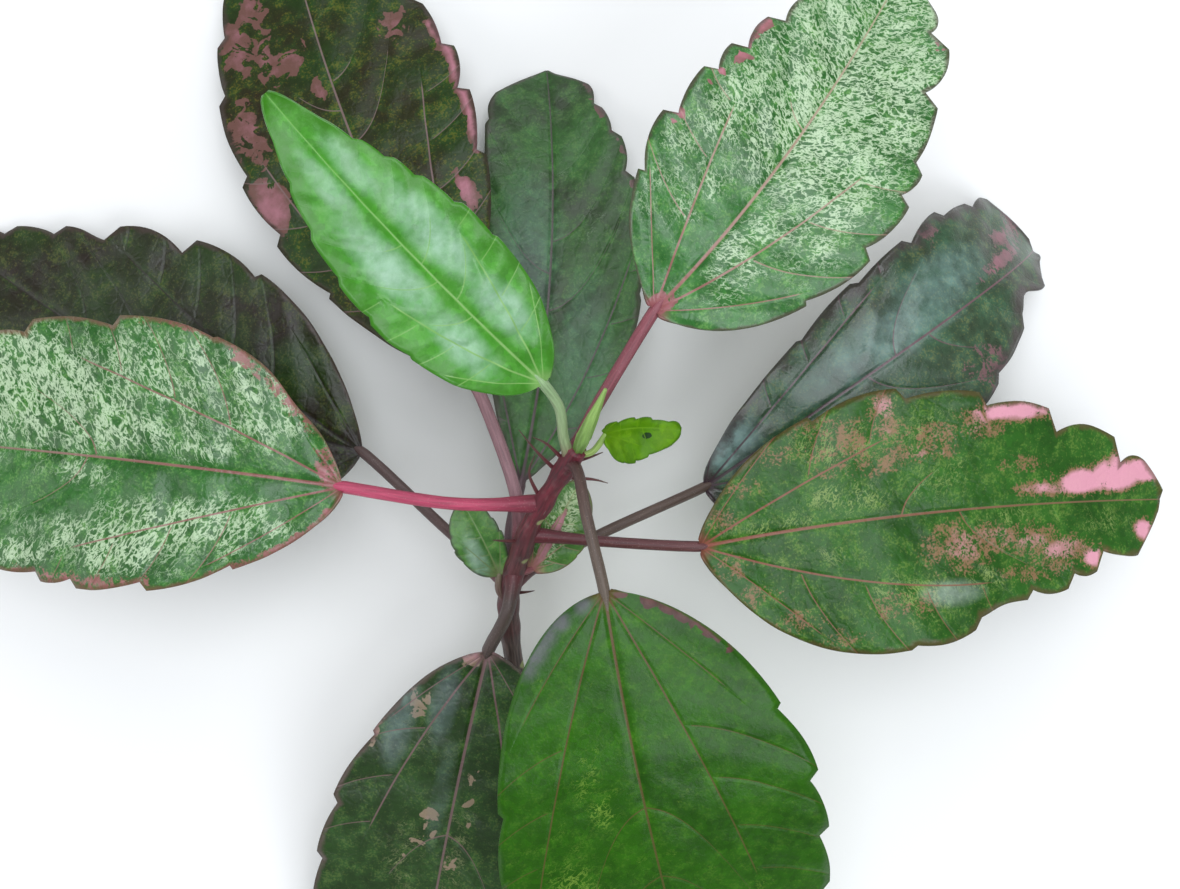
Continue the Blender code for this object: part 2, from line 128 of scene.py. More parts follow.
# Stem with stipules.
# A young woody stem, cut from the bush: red-brown bark with fine lengthwise wrinkles, a
# swelling under every leaf, pale scars where leaves fell, and thin curved stipules that
# grow out of it in pairs beside the leaf stalks.
STEM_AXIS = [
    (-5.0, -106.5, 1.95), (-8.4, -87.5, 6.6), (-12.0, -67.5, 13.2), (-14.5, -49.5, 21.0),
    (-16.0, -31.0, 31.0), (-12.0, -17.0, 42.0), (-8.5, -10.5, 48.0), (-5.0, -5.0, 54.0),
    (-2.3, -0.8, 59.3),
]
STEM_RADIUS_CUT = 1.95
STEM_RADIUS_TIP = 1.5
STEM_STATIONS = 190
NODE_SWELL = 0.45
NODE_REACH = 3.0
LEAF_NODES = [
    (-13.0, -19.5, 39.6), (-3.5, -2.65, 57.0), (-15.7, -36.0, 28.4), (-4.9, -4.9, 54.2),
    (-15.0, -27.0, 34.3), (-12.0, -17.0, 42.0), (-4.0, -3.4, 56.0), (-14.5, -24.5, 36.0),
    (-8.8, -11.0, 47.6), (-15.2, -27.8, 33.8), (-16.0, -31.5, 30.7), (-14.0, -24.4, 36.6),
    (-2.9, -1.9, 57.9),
]
LEAF_SCARS = [
    (-10.6, -11.0, 47.0), (-12.6, -22.0, 39.4), (-12.0, -16.0, 43.8), (-9.2, -14.6, 46.0),
    (-13.6, -44.0, 24.4), (-12.4, -58.0, 18.0),
]
STIPULES = [
    [(-9.2, -10.2, 48.0), (-11.2, -5.4, 51.0), (-10.0, -1.7, 54.0)],
    [(-6.2, -4.8, 53.0), (-9.7, -1.2, 57.0), (-12.7, 2.6, 61.0)],
    [(-4.6, -3.0, 56.0), (-7.6, 0.0, 60.0), (-10.1, 1.3, 63.0)],
    [(-3.0, -3.2, 55.6), (0.2, -2.2, 57.2), (2.3, -1.4, 58.6)],
    [(-4.8, -6.0, 53.0), (0.5, -6.4, 52.2), (3.3, -7.1, 52.0)],
    [(-15.0, -29.0, 32.2), (-12.6, -28.8, 33.2), (-10.8, -28.4, 34.5)],
    [(-12.8, -18.4, 41.0), (-16.5, -18.2, 43.2), (-18.4, -18.0, 44.2)],
]
BARK_RED = "#661f2c"
BARK_WOODY = "#5a4a47"
BARK_DARK = "#3d1a20"
SCAR_PALE = "#9aa06c"
BARK_DUST = "#a79a94"
CUT_WOOD = "#cfc79a"


def smooth_path(points, stations):
    """Evenly numbered points on a smooth curve (Catmull-Rom) through the given ones."""
    knots = [Vector(p) for p in points]
    knots = [2 * knots[0] - knots[1], *knots, 2 * knots[-1] - knots[-2]]
    spans = len(points) - 1
    path = []
    for i in range(stations):
        u = i / (stations - 1) * spans
        k = min(int(u), spans - 1)
        u -= k
        a, b, c, d = knots[k:k + 4]
        path.append(
            0.5 * (2 * b + (c - a) * u + (2 * a - 5 * b + 4 * c - d) * u * u
                   + (3 * b - a - 3 * c + d) * u ** 3)
        )
    return path


def add_tube(shape, path, girth, around, tint):
    """Adds a closed tube along a path. Its wall is a grid rolled up and welded.

    girth(share, angle, place) gives the radius in mm and tint(share, place) the colour.
    Each vertex keeps its place on the straightened tube, for lengthwise patterns.
    """
    grain = shape.verts.layers.float_vector.get("grain") or shape.verts.layers.float_vector.new("grain")
    colour = shape.verts.layers.float_vector.get("tint") or shape.verts.layers.float_vector.new("tint")
    stations = [path[0], *path, path[-1]]
    made = bmesh.ops.create_grid(
        shape, x_segments=around, y_segments=len(stations) - 1, size=1)["verts"]
    reach = 0.0
    side = Vector((0, 0, 1))
    for j, place in enumerate(stations):
        near, far = stations[max(j - 2, 0)], stations[min(j + 2, len(stations) - 1)]
        along = (far - near).normalized()
        side = (side - along * side.dot(along)).normalized()
        other = along.cross(side)
        if j > 0:
            reach += (place - stations[j - 1]).length
        share = max(j - 1, 0) / (len(path) - 1)
        closed = j in (0, len(stations) - 1)
        for i in range(around + 1):
            angle = 2 * math.pi * (i % around) / around
            radius = 0.0 if closed else girth(share, angle, place)
            vertex = made[j * (around + 1) + i]
            vertex.co = placed(place + (side * math.cos(angle) + other * math.sin(angle)) * radius)
            vertex[grain] = (3 * math.cos(angle), 3 * math.sin(angle), reach)
            vertex[colour] = tint(share, place)
    bmesh.ops.remove_doubles(shape, verts=made, dist=0.001 * MM)


def finished(name, shape, materials):
    """The shape as a mesh object at the origin, with its materials and smooth shading."""
    mesh = bpy.data.meshes.new(name)
    shape.to_mesh(mesh)
    shape.free()
    mesh.shade_smooth()
    for material in materials:
        mesh.materials.append(material)
    piece = bpy.data.objects.new(name, mesh)
    bpy.context.scene.collection.objects.link(piece)
    return piece


def mixed(first, second, share):
    """A colour between two hex colours, for a vertex."""
    share = min(max(share, 0.0), 1.0)
    return Vector(linear(first)[:3]).lerp(Vector(linear(second)[:3]), share)


def stem_girth(share, angle, place):
    radius = STEM_RADIUS_CUT + (STEM_RADIUS_TIP - STEM_RADIUS_CUT) * share ** 1.6
    nearest = min((place - Vector(p)).length for p in LEAF_NODES)
    radius += NODE_SWELL * math.exp(-((nearest / NODE_REACH) ** 2))
    if share == 0:
        return radius * 0.88
    wrinkle = noise.noise(Vector((2.6 * math.cos(angle), 2.6 * math.sin(angle), share * 16)))
    knob = noise.noise(Vector((1.1 * math.cos(angle), 1.1 * math.sin(angle), share * 70 + 5)))
    return radius * (1 + 0.035 * wrinkle + 0.03 * knob)


def stem_tint(share, place):
    if share == 0:
        return mixed(CUT_WOOD, CUT_WOOD, 0.0)
    red = min(max((share - 0.45) / 0.25, 0.0), 1.0)
    colour = mixed(BARK_WOODY, BARK_RED, red)
    nearest = min((place - Vector(p)).length for p in LEAF_NODES)
    return colour.lerp(mixed(BARK_DARK, BARK_RED, 0.35), 0.6 * math.exp(-((nearest / 2.2) ** 2)))


stem_shape = bmesh.new()
add_tube(stem_shape, smooth_path(STEM_AXIS, STEM_STATIONS), stem_girth, 36, stem_tint)
scar_layer = stem_shape.verts.layers.float_vector.new("scar")
for vertex in stem_shape.verts:
    nearest = min((vertex.co - placed(p)).length for p in LEAF_SCARS) / MM
    depth = math.exp(-((nearest / 0.95) ** 2))
    vertex[scar_layer] = (depth, 0.0, 0.0)
for spike in STIPULES:
    spike_path = smooth_path(spike, 22)
    add_tube(
        stem_shape, spike_path,
        lambda share, angle, place: (0.62 - 0.52 * share) * (1 - 0.3 * abs(math.sin(angle))),
        10, lambda share, place: mixed(BARK_RED, "#5a4038", share * 1.2),
    )
bmesh.ops.recalc_face_normals(stem_shape, faces=stem_shape.faces)

# Young hibiscus bark: a thin, dry, slightly waxy skin. Fine lengthwise wrinkles 0.3 mm
# apart and pale pores give it a broken satin sheen.
bark = bpy.data.materials.new("young_hibiscus_bark")
bark.use_nodes = True
tree = bark.node_tree
surface = tree.nodes["Principled BSDF"]
grain = add(tree, "Attribute", attribute_name="grain")["Vector"]
tint = add(tree, "Attribute", attribute_name="tint")["Vector"]
scar = add(tree, "SeparateXYZ", {0: add(tree, "Attribute", attribute_name="scar")["Vector"]})[0]
lengthwise = add(tree, "VectorMath", {0: grain, 1: (1.0, 1.0, 0.16)}, operation="MULTIPLY")[0]
wrinkles = add(tree, "TexNoise", {"Vector": lengthwise, "Scale": 1.6, "Detail": 4.0})[0]
patches = add(tree, "TexNoise", {"Vector": grain, "Scale": 0.35, "Detail": 3.0})[0]
pores = add(tree, "TexVoronoi", {"Vector": lengthwise, "Scale": 0.9})[0]
pore_mask = add(tree, "MapRange", {0: pores, 1: 0.11, 2: 0.06})[0]
darkened = add(tree, "MapRange", {0: wrinkles, 1: 0.35, 2: 0.65, 3: 0.55, 4: 1.35})[0]
shaded_bark = add(tree, "VectorMath", {0: tint, "Scale": darkened}, operation="SCALE")[0]
patched = add(tree, "Mix", {
    0: add(tree, "MapRange", {0: patches, 1: 0.55, 2: 0.8, 4: 0.16})[0],
    6: shaded_bark, 7: linear(BARK_DUST)}, data_type="RGBA")[2]
pored = add(tree, "Mix", {
    0: add(tree, "Math", {0: pore_mask, 1: 0.5}, operation="MULTIPLY")[0],
    6: patched, 7: linear(BARK_DUST)}, data_type="RGBA")[2]
scarred = add(tree, "Mix", {
    0: add(tree, "MapRange", {0: scar, 1: 0.35, 2: 0.6})[0],
    6: pored, 7: linear(SCAR_PALE)}, data_type="RGBA")[2]
tree.links.new(scarred, surface.inputs["Base Color"])
tree.links.new(
    add(tree, "MapRange", {0: wrinkles, 1: 0.3, 2: 0.7, 3: 0.42, 4: 0.68})[0],
    surface.inputs["Roughness"])
ridges = add(tree, "Math", {0: wrinkles, 1: pore_mask}, operation="ADD")[0]
tree.links.new(
    add(tree, "Bump", {"Strength": 0.7, "Distance": 0.0003, "Height": ridges})[0],
    surface.inputs["Normal"])

stem = finished("bark_stem", stem_shape, [bark])
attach(stem, "root")
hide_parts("stem")

# Back left leaf.
# An old leaf low on the stem, dark olive with sharp-edged patches that are dull pink where
# the green is missing. Its blade is a thin toothed skin stretched between sunken veins,
# grown on a stalk that runs on under it as the midrib.
BLADE_THICKNESS = 0.5
BLADE_LEAN = 0.05
TOOTH_GAP = 0.016
TIP_HALF_WIDTH = 0.35
BASE_HALF_WIDTH = 0.9
SMOOTH_ROWS = 46
TOOTH_ROWS = 13
TIP_ROWS = 7
COLUMNS = [math.copysign(abs(t) ** 1.3, t) for t in np.linspace(-1, 1, 45)]
RIB_BELOW = 1.25


@dataclass
class Margin:
    """One side of a blade: its width, where it is widest, how full it is, its teeth.

    Places along the blade are shares of its length from the base. Each tooth is given
    by the place of its point. A swell is (place, mm out or in, reach). A basal vein
    leaves the base along a bowed line: its slope away from the midrib, its bow, and how
    far along it reaches.
    """

    width: float
    widest: float
    base_fullness: float
    tip_fullness: float
    teeth: tuple
    tooth_sizes: tuple = ()
    swells: tuple = ()
    basal: tuple = (0.42, 0.0016, 0.62)
    low_basal: tuple = (1.0, 0.006, 0.24)
    first_side_vein: float = 40.0
    first_branch: float = 12.0

    def half_width(self, share):
        """Width of this side at a share of the length, without its teeth."""
        full = self.base_fullness if share < self.widest else self.tip_fullness
        rise = (max(share, 1e-4) / self.widest) ** (full * self.widest)
        smooth = self.width * rise * (
            (1 - min(share, 1.0)) / (1 - self.widest)) ** (full * (1 - self.widest))
        return smooth + sum(
            out * math.exp(-(((share - place) / reach) ** 2)) for place, out, reach in self.swells)


@dataclass
class Leaf:
    """One leaf: where its stalk and midrib run, its two sides, relief, markings and painted sheen.

    Left and right are as seen from above by someone who looks from the base to the tip.
    A mark is (share along, mm across, reach along, reach across, strength); across is
    positive to the right. Veins repeat at the given spacings in mm.
    """

    stalk: list
    midrib: list
    left: Margin
    right: Margin
    tooth_depth: float
    stalk_radius: float = 1.1
    cup: float = 0.0
    wave: float = 1.0
    wave_phase: float = 0.0
    quilt: float = 0.4
    ruffle: float = 0.25
    side_spacing: float = 15.0
    branch_spacing: float = 11.0
    vein_girth: float = 1.0
    blush: list = field(default_factory=list)
    cream: list = field(default_factory=list)
    # Places where a pale sheen is painted into the skin colour
    painted_sheen: list = field(default_factory=list)


def edge_marks(margin, hand, first, last, depth, strength):
    """Marks in a row along a margin, on the right (hand 1) or the left (hand -1)."""
    shares = np.linspace(first, last, max(2, round((last - first) * 100 / depth) + 1))
    return [
        (float(share), hand * (margin.half_width(share) - 0.35 * depth), depth * 1.1, depth, strength)
        for share in shares]


def margin_rows(leaf, side):
    """(share of the length, half-width in mm) from the base to the tip of one side."""
    most = max(len(leaf.left.teeth), len(leaf.right.teeth))
    smooth = SMOOTH_ROWS + TOOTH_ROWS * (most - len(side.teeth))
    first = side.teeth[0] - (side.teeth[1] - side.teeth[0])
    rows = [(first * (i / smooth) ** 1.5, 0.0) for i in range(smooth)]
    start = first
    for number, point in enumerate(side.teeth):
        size = leaf.tooth_depth * (1.15 - 0.6 * point)
        if side.tooth_sizes:
            size *= side.tooth_sizes[number]
        for u in np.linspace(0, 1, TOOTH_ROWS):
            rows.append((start + (point - start) * u, size * (2.149 * u - 1.149 * u * u - 0.5)))
        start = point + TOOTH_GAP
    margin = [(s, max(side.half_width(s) + tooth, BASE_HALF_WIDTH)) for s, tooth in rows]
    last, width = margin[-1]
    for u in np.linspace(0, 1, TIP_ROWS + 1)[1:]:
        round_off = 0.5 * math.sin(math.pi * u)
        margin.append((last + (1 - last) * u, width + (TIP_HALF_WIDTH - width) * u + round_off))
    return margin


class Midrib:
    """The curve down the middle of a blade, measured along its own length."""

    def __init__(self, leaf):
        self.base, self.bend, self.tip = (Vector(p) for p in leaf.midrib)
        self.turns = np.linspace(0, 1, 49)
        points = np.array([self.at(t)[0] for t in self.turns])
        steps = np.linalg.norm(np.diff(points, axis=0), axis=1)
        self.lengths = np.concatenate([[0.0], np.cumsum(steps)])
        self.length = float(self.lengths[-1])

    def at(self, t):
        """Point and direction at the curve's own parameter."""
        t = float(t)
        point = (1 - t) ** 2 * self.base + 2 * t * (1 - t) * self.bend + t * t * self.tip
        heading = (1 - t) * (self.bend - self.base) + t * (self.tip - self.bend)
        return point, heading.normalized()

    def frame(self, share):
        """Point, direction across to the right, and direction up from the blade."""
        point, along = self.at(np.interp(share * self.length, self.lengths, self.turns))
        across = along.cross(Vector((0, 0, 1))).normalized()
        return point, across, across.cross(along)


def vein_places(leaf, side, along, across, length):
    """Distances in mm from the veins of one side, and their half-widths there."""
    out = abs(across)
    slope, bow, reach = side.basal
    basal = out - (slope * along - bow * along * along)
    low_slope, low_bow, low_reach = side.low_basal
    low = out - (low_slope * along - low_bow * along * along)
    side_run = along - 0.2 * out - 0.09 * out * out - side.first_side_vein
    beyond = max(basal, 0.0)
    branch_run = along - 0.2 * beyond - 0.03 * beyond * beyond - side.first_branch
    share = along / length
    fade = min(max((reach - share) / 0.12, 0.0), 1.0)
    low_fade = min(max((low_reach - share) / 0.08, 0.0), 1.0)
    thin = leaf.vein_girth * (1 - 0.65 * share)
    basal_half = 0.2 * thin * fade - 0.9 * (1 - fade)
    low_half = 0.11 * leaf.vein_girth * low_fade - 0.9 * (1 - low_fade)
    started = min(max(side_run / leaf.side_spacing + 0.5, 0.0) * 4, 1.0)
    inside = min(max(0.5 - basal * fade, 0.0), 1.0)
    side_half = 0.13 * thin * (1 - 0.018 * out) * started * inside - 0.9 * (1 - started * inside)
    grown = min(max(branch_run / leaf.branch_spacing + 0.5, 0.0) * 4, 1.0)
    outside = min(max(0.5 + basal, 0.0), 1.0) * min(fade * 2, 1.0)
    branch_half = 0.08 * thin * grown * outside - 0.9 * (1 - grown * outside)
    return (basal, side_run, branch_run), (basal_half, side_half, branch_half), (low, low_half)


def marked(marks, along, across, length):
    """How strongly a set of marks covers a place on the blade: each is an even oval
    that falls off over its outer third."""
    covered = 0.0
    for share, place, reach_along, reach_across, strength in marks:
        u = (along - share * length) / reach_along
        v = (across - place) / reach_across
        covered = max(covered, strength * math.exp(-((u * u + v * v) ** 1.6)))
    return covered


def blade_shape(leaf, midrib):
    """The blade's upper skin: a grid whose rows run out to the margin's teeth."""
    margins = [margin_rows(leaf, side) for side in (leaf.left, leaf.right)]
    rows, columns = len(margins[0]), len(COLUMNS)
    shape = bmesh.new()
    layers = {
        name: shape.verts.layers.float_vector.new(name)
        for name in ("blade", "veins", "vein_widths", "low_vein", "ribs_below", "marks")
    }
    bmesh.ops.create_grid(shape, x_segments=columns - 1, y_segments=rows - 1, size=1)
    shape.verts.ensure_lookup_table()
    for j in range(rows):
        even = (margins[0][j][0] + margins[1][j][0]) / 2
        middle = even - BLADE_LEAN * math.sin(math.pi * even)
        for i, column in enumerate(COLUMNS):
            side = leaf.right if column > 0 else leaf.left
            margin_share, half_width = margins[1 if column > 0 else 0][j]
            share = middle + (margin_share - middle) * abs(column)
            along, across = share * midrib.length, column * half_width
            inset = (1 - abs(column)) * half_width
            places, widths, low = vein_places(leaf, side, along, across, midrib.length)
            x = across / max(half_width, 1.0)
            swing = math.sin(2 * math.pi * 2.2 * share + leaf.wave_phase + (1.3 if x > 0 else 0))
            height = leaf.cup * abs(across) + leaf.wave * x * x * swing
            side_puff = 0.5 - 0.5 * math.cos(2 * math.pi * places[1] / leaf.side_spacing)
            branch_puff = 0.5 - 0.5 * math.cos(2 * math.pi * places[2] / leaf.branch_spacing)
            puff = side_puff if widths[2] < widths[1] else branch_puff
            body = min(inset / 3.0, 1.0) * min(abs(across) / 3.0, 1.0)
            height += leaf.quilt * (puff - 0.4) * body
            height += leaf.quilt * 0.4 * body * noise.noise(
                Vector((across / 5.0, along / 5.0, leaf.wave_phase * 7)))
            height -= 0.32 * (1 - 0.6 * share) * math.exp(-((across / 0.8) ** 2))
            height -= 0.5 * max(widths[0], 0.0) * math.exp(-((places[0] / 0.9) ** 2))
            height += leaf.ruffle * abs(x) ** 5 * math.sin(along / 1.7 + 3 * leaf.wave_phase)
            point, right, up = midrib.frame(share)
            point = point + right * across + up * height
            point.z = max(point.z, BLADE_THICKNESS)
            vertex = shape.verts[j * columns + i]
            vertex.co = placed(point)
            vertex[layers["blade"]] = (across, along, inset)
            vertex[layers["veins"]] = places
            vertex[layers["vein_widths"]] = widths
            vertex[layers["low_vein"]] = (*low, 0.0)
            vertex[layers["ribs_below"]] = (
                places[1] / leaf.side_spacing, places[2] / leaf.branch_spacing, 0.0)
            # How strongly the blush, the cream and the painted sheen cover this place
            vertex[layers["marks"]] = tuple(
                marked(marks, along, across, midrib.length)
                for marks in (leaf.blush, leaf.cream, leaf.painted_sheen))
    bmesh.ops.recalc_face_normals(shape, faces=shape.faces)
    if sum(face.normal.z for face in shape.faces) < 0:
        bmesh.ops.reverse_faces(shape, faces=shape.faces)
    return shape


def make_blade(name, leaf, skin, underside):
    """The blade as a piece: its skin, thickened downwards, with a duller underside."""
    blade = finished(name, blade_shape(leaf, Midrib(leaf)), [skin, underside])
    depth = blade.modifiers.new("leaf_thickness", "SOLIDIFY")
    depth.thickness = BLADE_THICKNESS * MM
    depth.offset = -1
    depth.material_offset = 1
    depth.material_offset_rim = 0
    return blade


def make_stalk(name, leaf, near_stem, near_blade, rib):
    """The leaf stalk, and the rib that it runs on as under the blade."""
    midrib = Midrib(leaf)
    joint = []
    for share, below in ((0.0, 0.75), (0.05, 1.15), (0.10, 1.2)):
        point, _, up = midrib.frame(share)
        joint.append(point - up * below)
    path = smooth_path([*leaf.stalk, *joint], 60)
    base_run = len(leaf.stalk) / (len(leaf.stalk) + 2) * 59 / 55
    free = len(path)
    for share in np.linspace(0.12, 0.94, 44):
        point, _, up = midrib.frame(float(share))
        below = point - up * (RIB_BELOW - 0.5 * share)
        below.z = max(below.z, 0.25)
        path.append(below)
    path = path[:free - 4] + path[free:]
    total = len(path) - 1

    def girth(share, angle, place):
        station = share * total
        run = station / (free - 5)
        if run <= 1:
            flare = 1 + 0.5 * math.exp(-((run / 0.1) ** 2))
            taper = 1 - 0.42 * min(max((run - base_run) / 0.05, 0.0), 1.0)
            radius = leaf.stalk_radius * flare * taper
        else:
            along = (station - free + 5) / (total - free + 5)
            radius = leaf.stalk_radius * (0.58 - 0.45 * along)
        bumps = noise.noise(Vector((2 * math.cos(angle), 2 * math.sin(angle), station * 0.35)))
        return radius * (1 + 0.04 * bumps)

    def tint(share, place):
        run = share * total / (free - 5)
        if run <= 1:
            rind = mixed(near_stem, near_blade, run ** 1.2)
            return mixed(BARK_DARK, BARK_RED, 0.8).lerp(rind, min(run * 5, 1.0))
        return mixed(near_blade, rib, (run - 1) * 6)

    shape = bmesh.new()
    add_tube(shape, path, girth, 16, tint)
    bmesh.ops.recalc_face_normals(shape, faces=shape.faces)
    return finished(name, shape, [leaf_stalk_skin])


def leaf_skin(name, leaf, seed, deep, mid, fresh, vein, vein_far, margin, speckle="#8fa83a",
              blush="#6d4c48", rose="#d98aa6", cream="#c9dcae", painted_sheen="#8b989c",
              speckle_share=0.35, margin_reach=1.2, gloss=0.4, wax=1.45, vein_relief=0.16,
              net_relief=0.045, fine_blush=0.0, stroke=1.15):
    """Upper skin of a leaf, with its veins, net, mottling, markings and painted sheen."""
    material = bpy.data.materials.new(name)
    material.use_nodes = True
    tree = material.node_tree
    surface = tree.nodes["Principled BSDF"]
    across, along, inset = add(tree, "SeparateXYZ", {0: add(
        tree, "Attribute", attribute_name="blade")["Vector"]})
    basal, side_run, branch_run = add(tree, "SeparateXYZ", {0: add(
        tree, "Attribute", attribute_name="veins")["Vector"]})
    basal_half, side_half, branch_half = add(tree, "SeparateXYZ", {0: add(
        tree, "Attribute", attribute_name="vein_widths")["Vector"]})
    low, low_half, _ = add(tree, "SeparateXYZ", {0: add(
        tree, "Attribute", attribute_name="low_vein")["Vector"]})
    blushed, creamed, painted_sheen_cover = add(tree, "SeparateXYZ", {0: add(
        tree, "Attribute", attribute_name="marks")["Vector"]})
    flat = add(tree, "CombineXYZ", {0: across, 1: along, 2: seed})[0]

    # Depth inside each vein in mm: the midrib, the basal veins, the side veins, the
    # branches of the basal veins and the low basal veins, joined by their greatest
    off_midrib = add(tree, "Math", {0: across}, operation="ABSOLUTE")[0]
    length = Midrib(leaf).length
    midrib_half = add(tree, "MapRange", {
        0: along, 1: 0.0, 2: length, 3: 0.31 * leaf.vein_girth, 4: 0.1 * leaf.vein_girth})[0]
    inside = add(tree, "Math", {0: midrib_half, 1: off_midrib}, operation="SUBTRACT")[0]
    for half, place, spacing in (
        (basal_half, basal, 0), (low_half, low, 0),
        (side_half, side_run, leaf.side_spacing), (branch_half, branch_run, leaf.branch_spacing),
    ):
        if spacing:
            off = add(tree, "Math", {0: place, 1: spacing / 2}, operation="PINGPONG")[0]
            off = add(tree, "Math", {0: off, 1: 0.75}, operation="MULTIPLY")[0]
        else:
            off = add(tree, "Math", {0: place}, operation="ABSOLUTE")[0]
        depth = add(tree, "Math", {0: half, 1: off}, operation="SUBTRACT")[0]
        inside = add(tree, "Math", {0: inside, 1: depth}, operation="MAXIMUM")[0]
    on_vein = add(tree, "MapRange", {0: inside, 1: -0.09, 2: 0.06})[0]
    by_vein = add(tree, "MapRange", {0: inside, 1: -1.6, 2: 0.0},
                  interpolation_type="SMOOTHSTEP")[0]

    # The net of fine veins, 2.4 mm across, and the tissue between them
    net = add(tree, "TexVoronoi", {"Vector": flat, "Scale": 1 / 2.4},
              feature="DISTANCE_TO_EDGE")[0]
    cells = add(tree, "TexVoronoi", {"Vector": flat, "Scale": 1 / 1.1})["Color"]
    cell_value = add(tree, "SeparateXYZ", {0: cells})[0]
    broad = add(tree, "TexNoise", {"Vector": flat, "Scale": 1 / 15, "Detail": 2.0})[0]
    mottle = add(tree, "TexNoise", {"Vector": flat, "Scale": 1 / 3.5, "Detail": 5.0,
                                    "Roughness": 0.6})[0]
    fine = add(tree, "TexNoise", {"Vector": flat, "Scale": 1 / 0.4, "Detail": 2.0})[0]

    tissue = add(tree, "Mix", {
        0: add(tree, "MapRange", {0: broad, 1: 0.35, 2: 0.62})[0],
        6: linear(deep), 7: linear(mid)}, data_type="RGBA")[2]
    livelier = add(tree, "Math", {
        0: add(tree, "MapRange", {0: mottle, 1: 0.45, 2: 0.75})[0],
        1: add(tree, "MapRange", {0: by_vein, 3: 0.5, 4: 1.0})[0]}, operation="MULTIPLY")[0]
    tissue = add(tree, "Mix", {0: livelier, 6: tissue, 7: linear(fresh)}, data_type="RGBA")[2]
    speckles = add(tree, "Math", {
        0: add(tree, "MapRange", {
            0: add(tree, "Math", {0: mottle, 1: 0.8, 2: fine}, operation="MULTIPLY_ADD")[0],
            1: 0.95, 2: 1.1})[0],
        1: speckle_share}, operation="MULTIPLY")[0]
    tissue = add(tree, "Mix", {0: speckles, 6: tissue, 7: linear(speckle)}, data_type="RGBA")[2]
    grainy = add(tree, "MapRange", {0: cell_value, 3: 0.86, 4: 1.14})[0]
    tissue = add(tree, "VectorMath", {0: tissue, "Scale": grainy}, operation="SCALE")[0]

    if leaf.cream:
        # Cream scribbles: crooked strokes 0.3 to 0.5 mm wide that leave dark cores between
        # them, drawn out along the side veins, and crowded in islands and under the marks
        outward = add(tree, "CombineXYZ", {
            0: add(tree, "Math", {0: off_midrib, 1: 0.7}, operation="MULTIPLY")[0],
            1: add(tree, "Math", {0: off_midrib, 1: -0.4, 2: along}, operation="MULTIPLY_ADD")[0],
            2: seed})[0]
        strokes = add(tree, "TexNoise", {"Vector": outward, "Scale": 1 / stroke, "Detail": 3.0,
                                         "Roughness": 0.66, "Distortion": 0.4})[0]
        off_stroke = add(tree, "Math", {
            0: add(tree, "Math", {0: strokes, 1: -0.5}, operation="ADD")[0]},
            operation="ABSOLUTE")[0]
        islands = add(tree, "TexNoise", {"Vector": outward, "Scale": 0.4 / stroke,
                                         "Detail": 2.0})[0]
        crowded = add(tree, "Math", {
            0: add(tree, "Math", {0: islands, 1: -0.5}, operation="ADD")[0],
            1: 2.0, 2: creamed}, operation="MULTIPLY_ADD")[0]
        stroke_width = add(tree, "MapRange", {0: crowded, 1: 0.1, 2: 1.4, 3: -0.05, 4: 0.042})[0]
        covered = add(tree, "MapRange", {
            0: add(tree, "Math", {0: stroke_width, 1: off_stroke}, operation="SUBTRACT")[0],
            1: -0.06, 2: 0.035, 4: 0.78}, interpolation_type="SMOOTHSTEP")[0]
        tissue = add(tree, "Mix", {0: covered, 6: tissue, 7: linear(cream)}, data_type="RGBA")[2]
    if leaf.blush:
        drift = add(tree, "TexNoise", {"Vector": flat, "Scale": 1 / 4.0, "Detail": 2.0,
                                       "Roughness": 0.55, "Distortion": 1.0})[0]
        near_mark = add(tree, "MapRange", {0: blushed, 1: 0.02, 2: 0.3})[0]
        rough = add(tree, "Math", {0: add(tree, "Math", {0: drift, 1: -0.5}, operation="ADD")[0],
                                   1: 2.2}, operation="MULTIPLY")[0]
        rough = add(tree, "Math", {
            0: add(tree, "Math", {0: fine, 1: -0.5}, operation="ADD")[0],
            1: 0.3 + 2.2 * fine_blush, 2: rough}, operation="MULTIPLY_ADD")[0]
        rough_edge = add(tree, "Math", {0: rough, 1: near_mark, 2: blushed},
                         operation="MULTIPLY_ADD")[0]
        covered = add(tree, "MapRange", {
            0: rough_edge, 1: 0.5 - 0.12 * fine_blush, 2: 0.58 + 0.3 * fine_blush,
            4: 1.0 - 0.12 * fine_blush})[0]
        rosy = add(tree, "Mix", {
            0: add(tree, "MapRange", {
                0: add(tree, "Math", {0: mottle, 1: 1.2, 2: blushed}, operation="MULTIPLY_ADD")[0],
                1: 1.2, 2: 1.9})[0],
            6: linear(blush), 7: linear(rose)}, data_type="RGBA")[2]
        tissue = add(tree, "Mix", {0: covered, 6: tissue, 7: rosy}, data_type="RGBA")[2]
    # Painted sheen: a pale reflection of the sky mixed into the skin colour over the sheen marks, broken
    # up by the mottle
    if leaf.painted_sheen:
        painted_sheen_share = add(tree, "MapRange", {
            0: add(tree, "Math", {0: painted_sheen_cover, 1: mottle}, operation="MULTIPLY")[0],
            1: 0.1, 2: 0.8, 4: 0.75})[0]
        tissue = add(tree, "Mix", {0: painted_sheen_share, 6: tissue, 7: linear(painted_sheen)}, data_type="RGBA")[2]
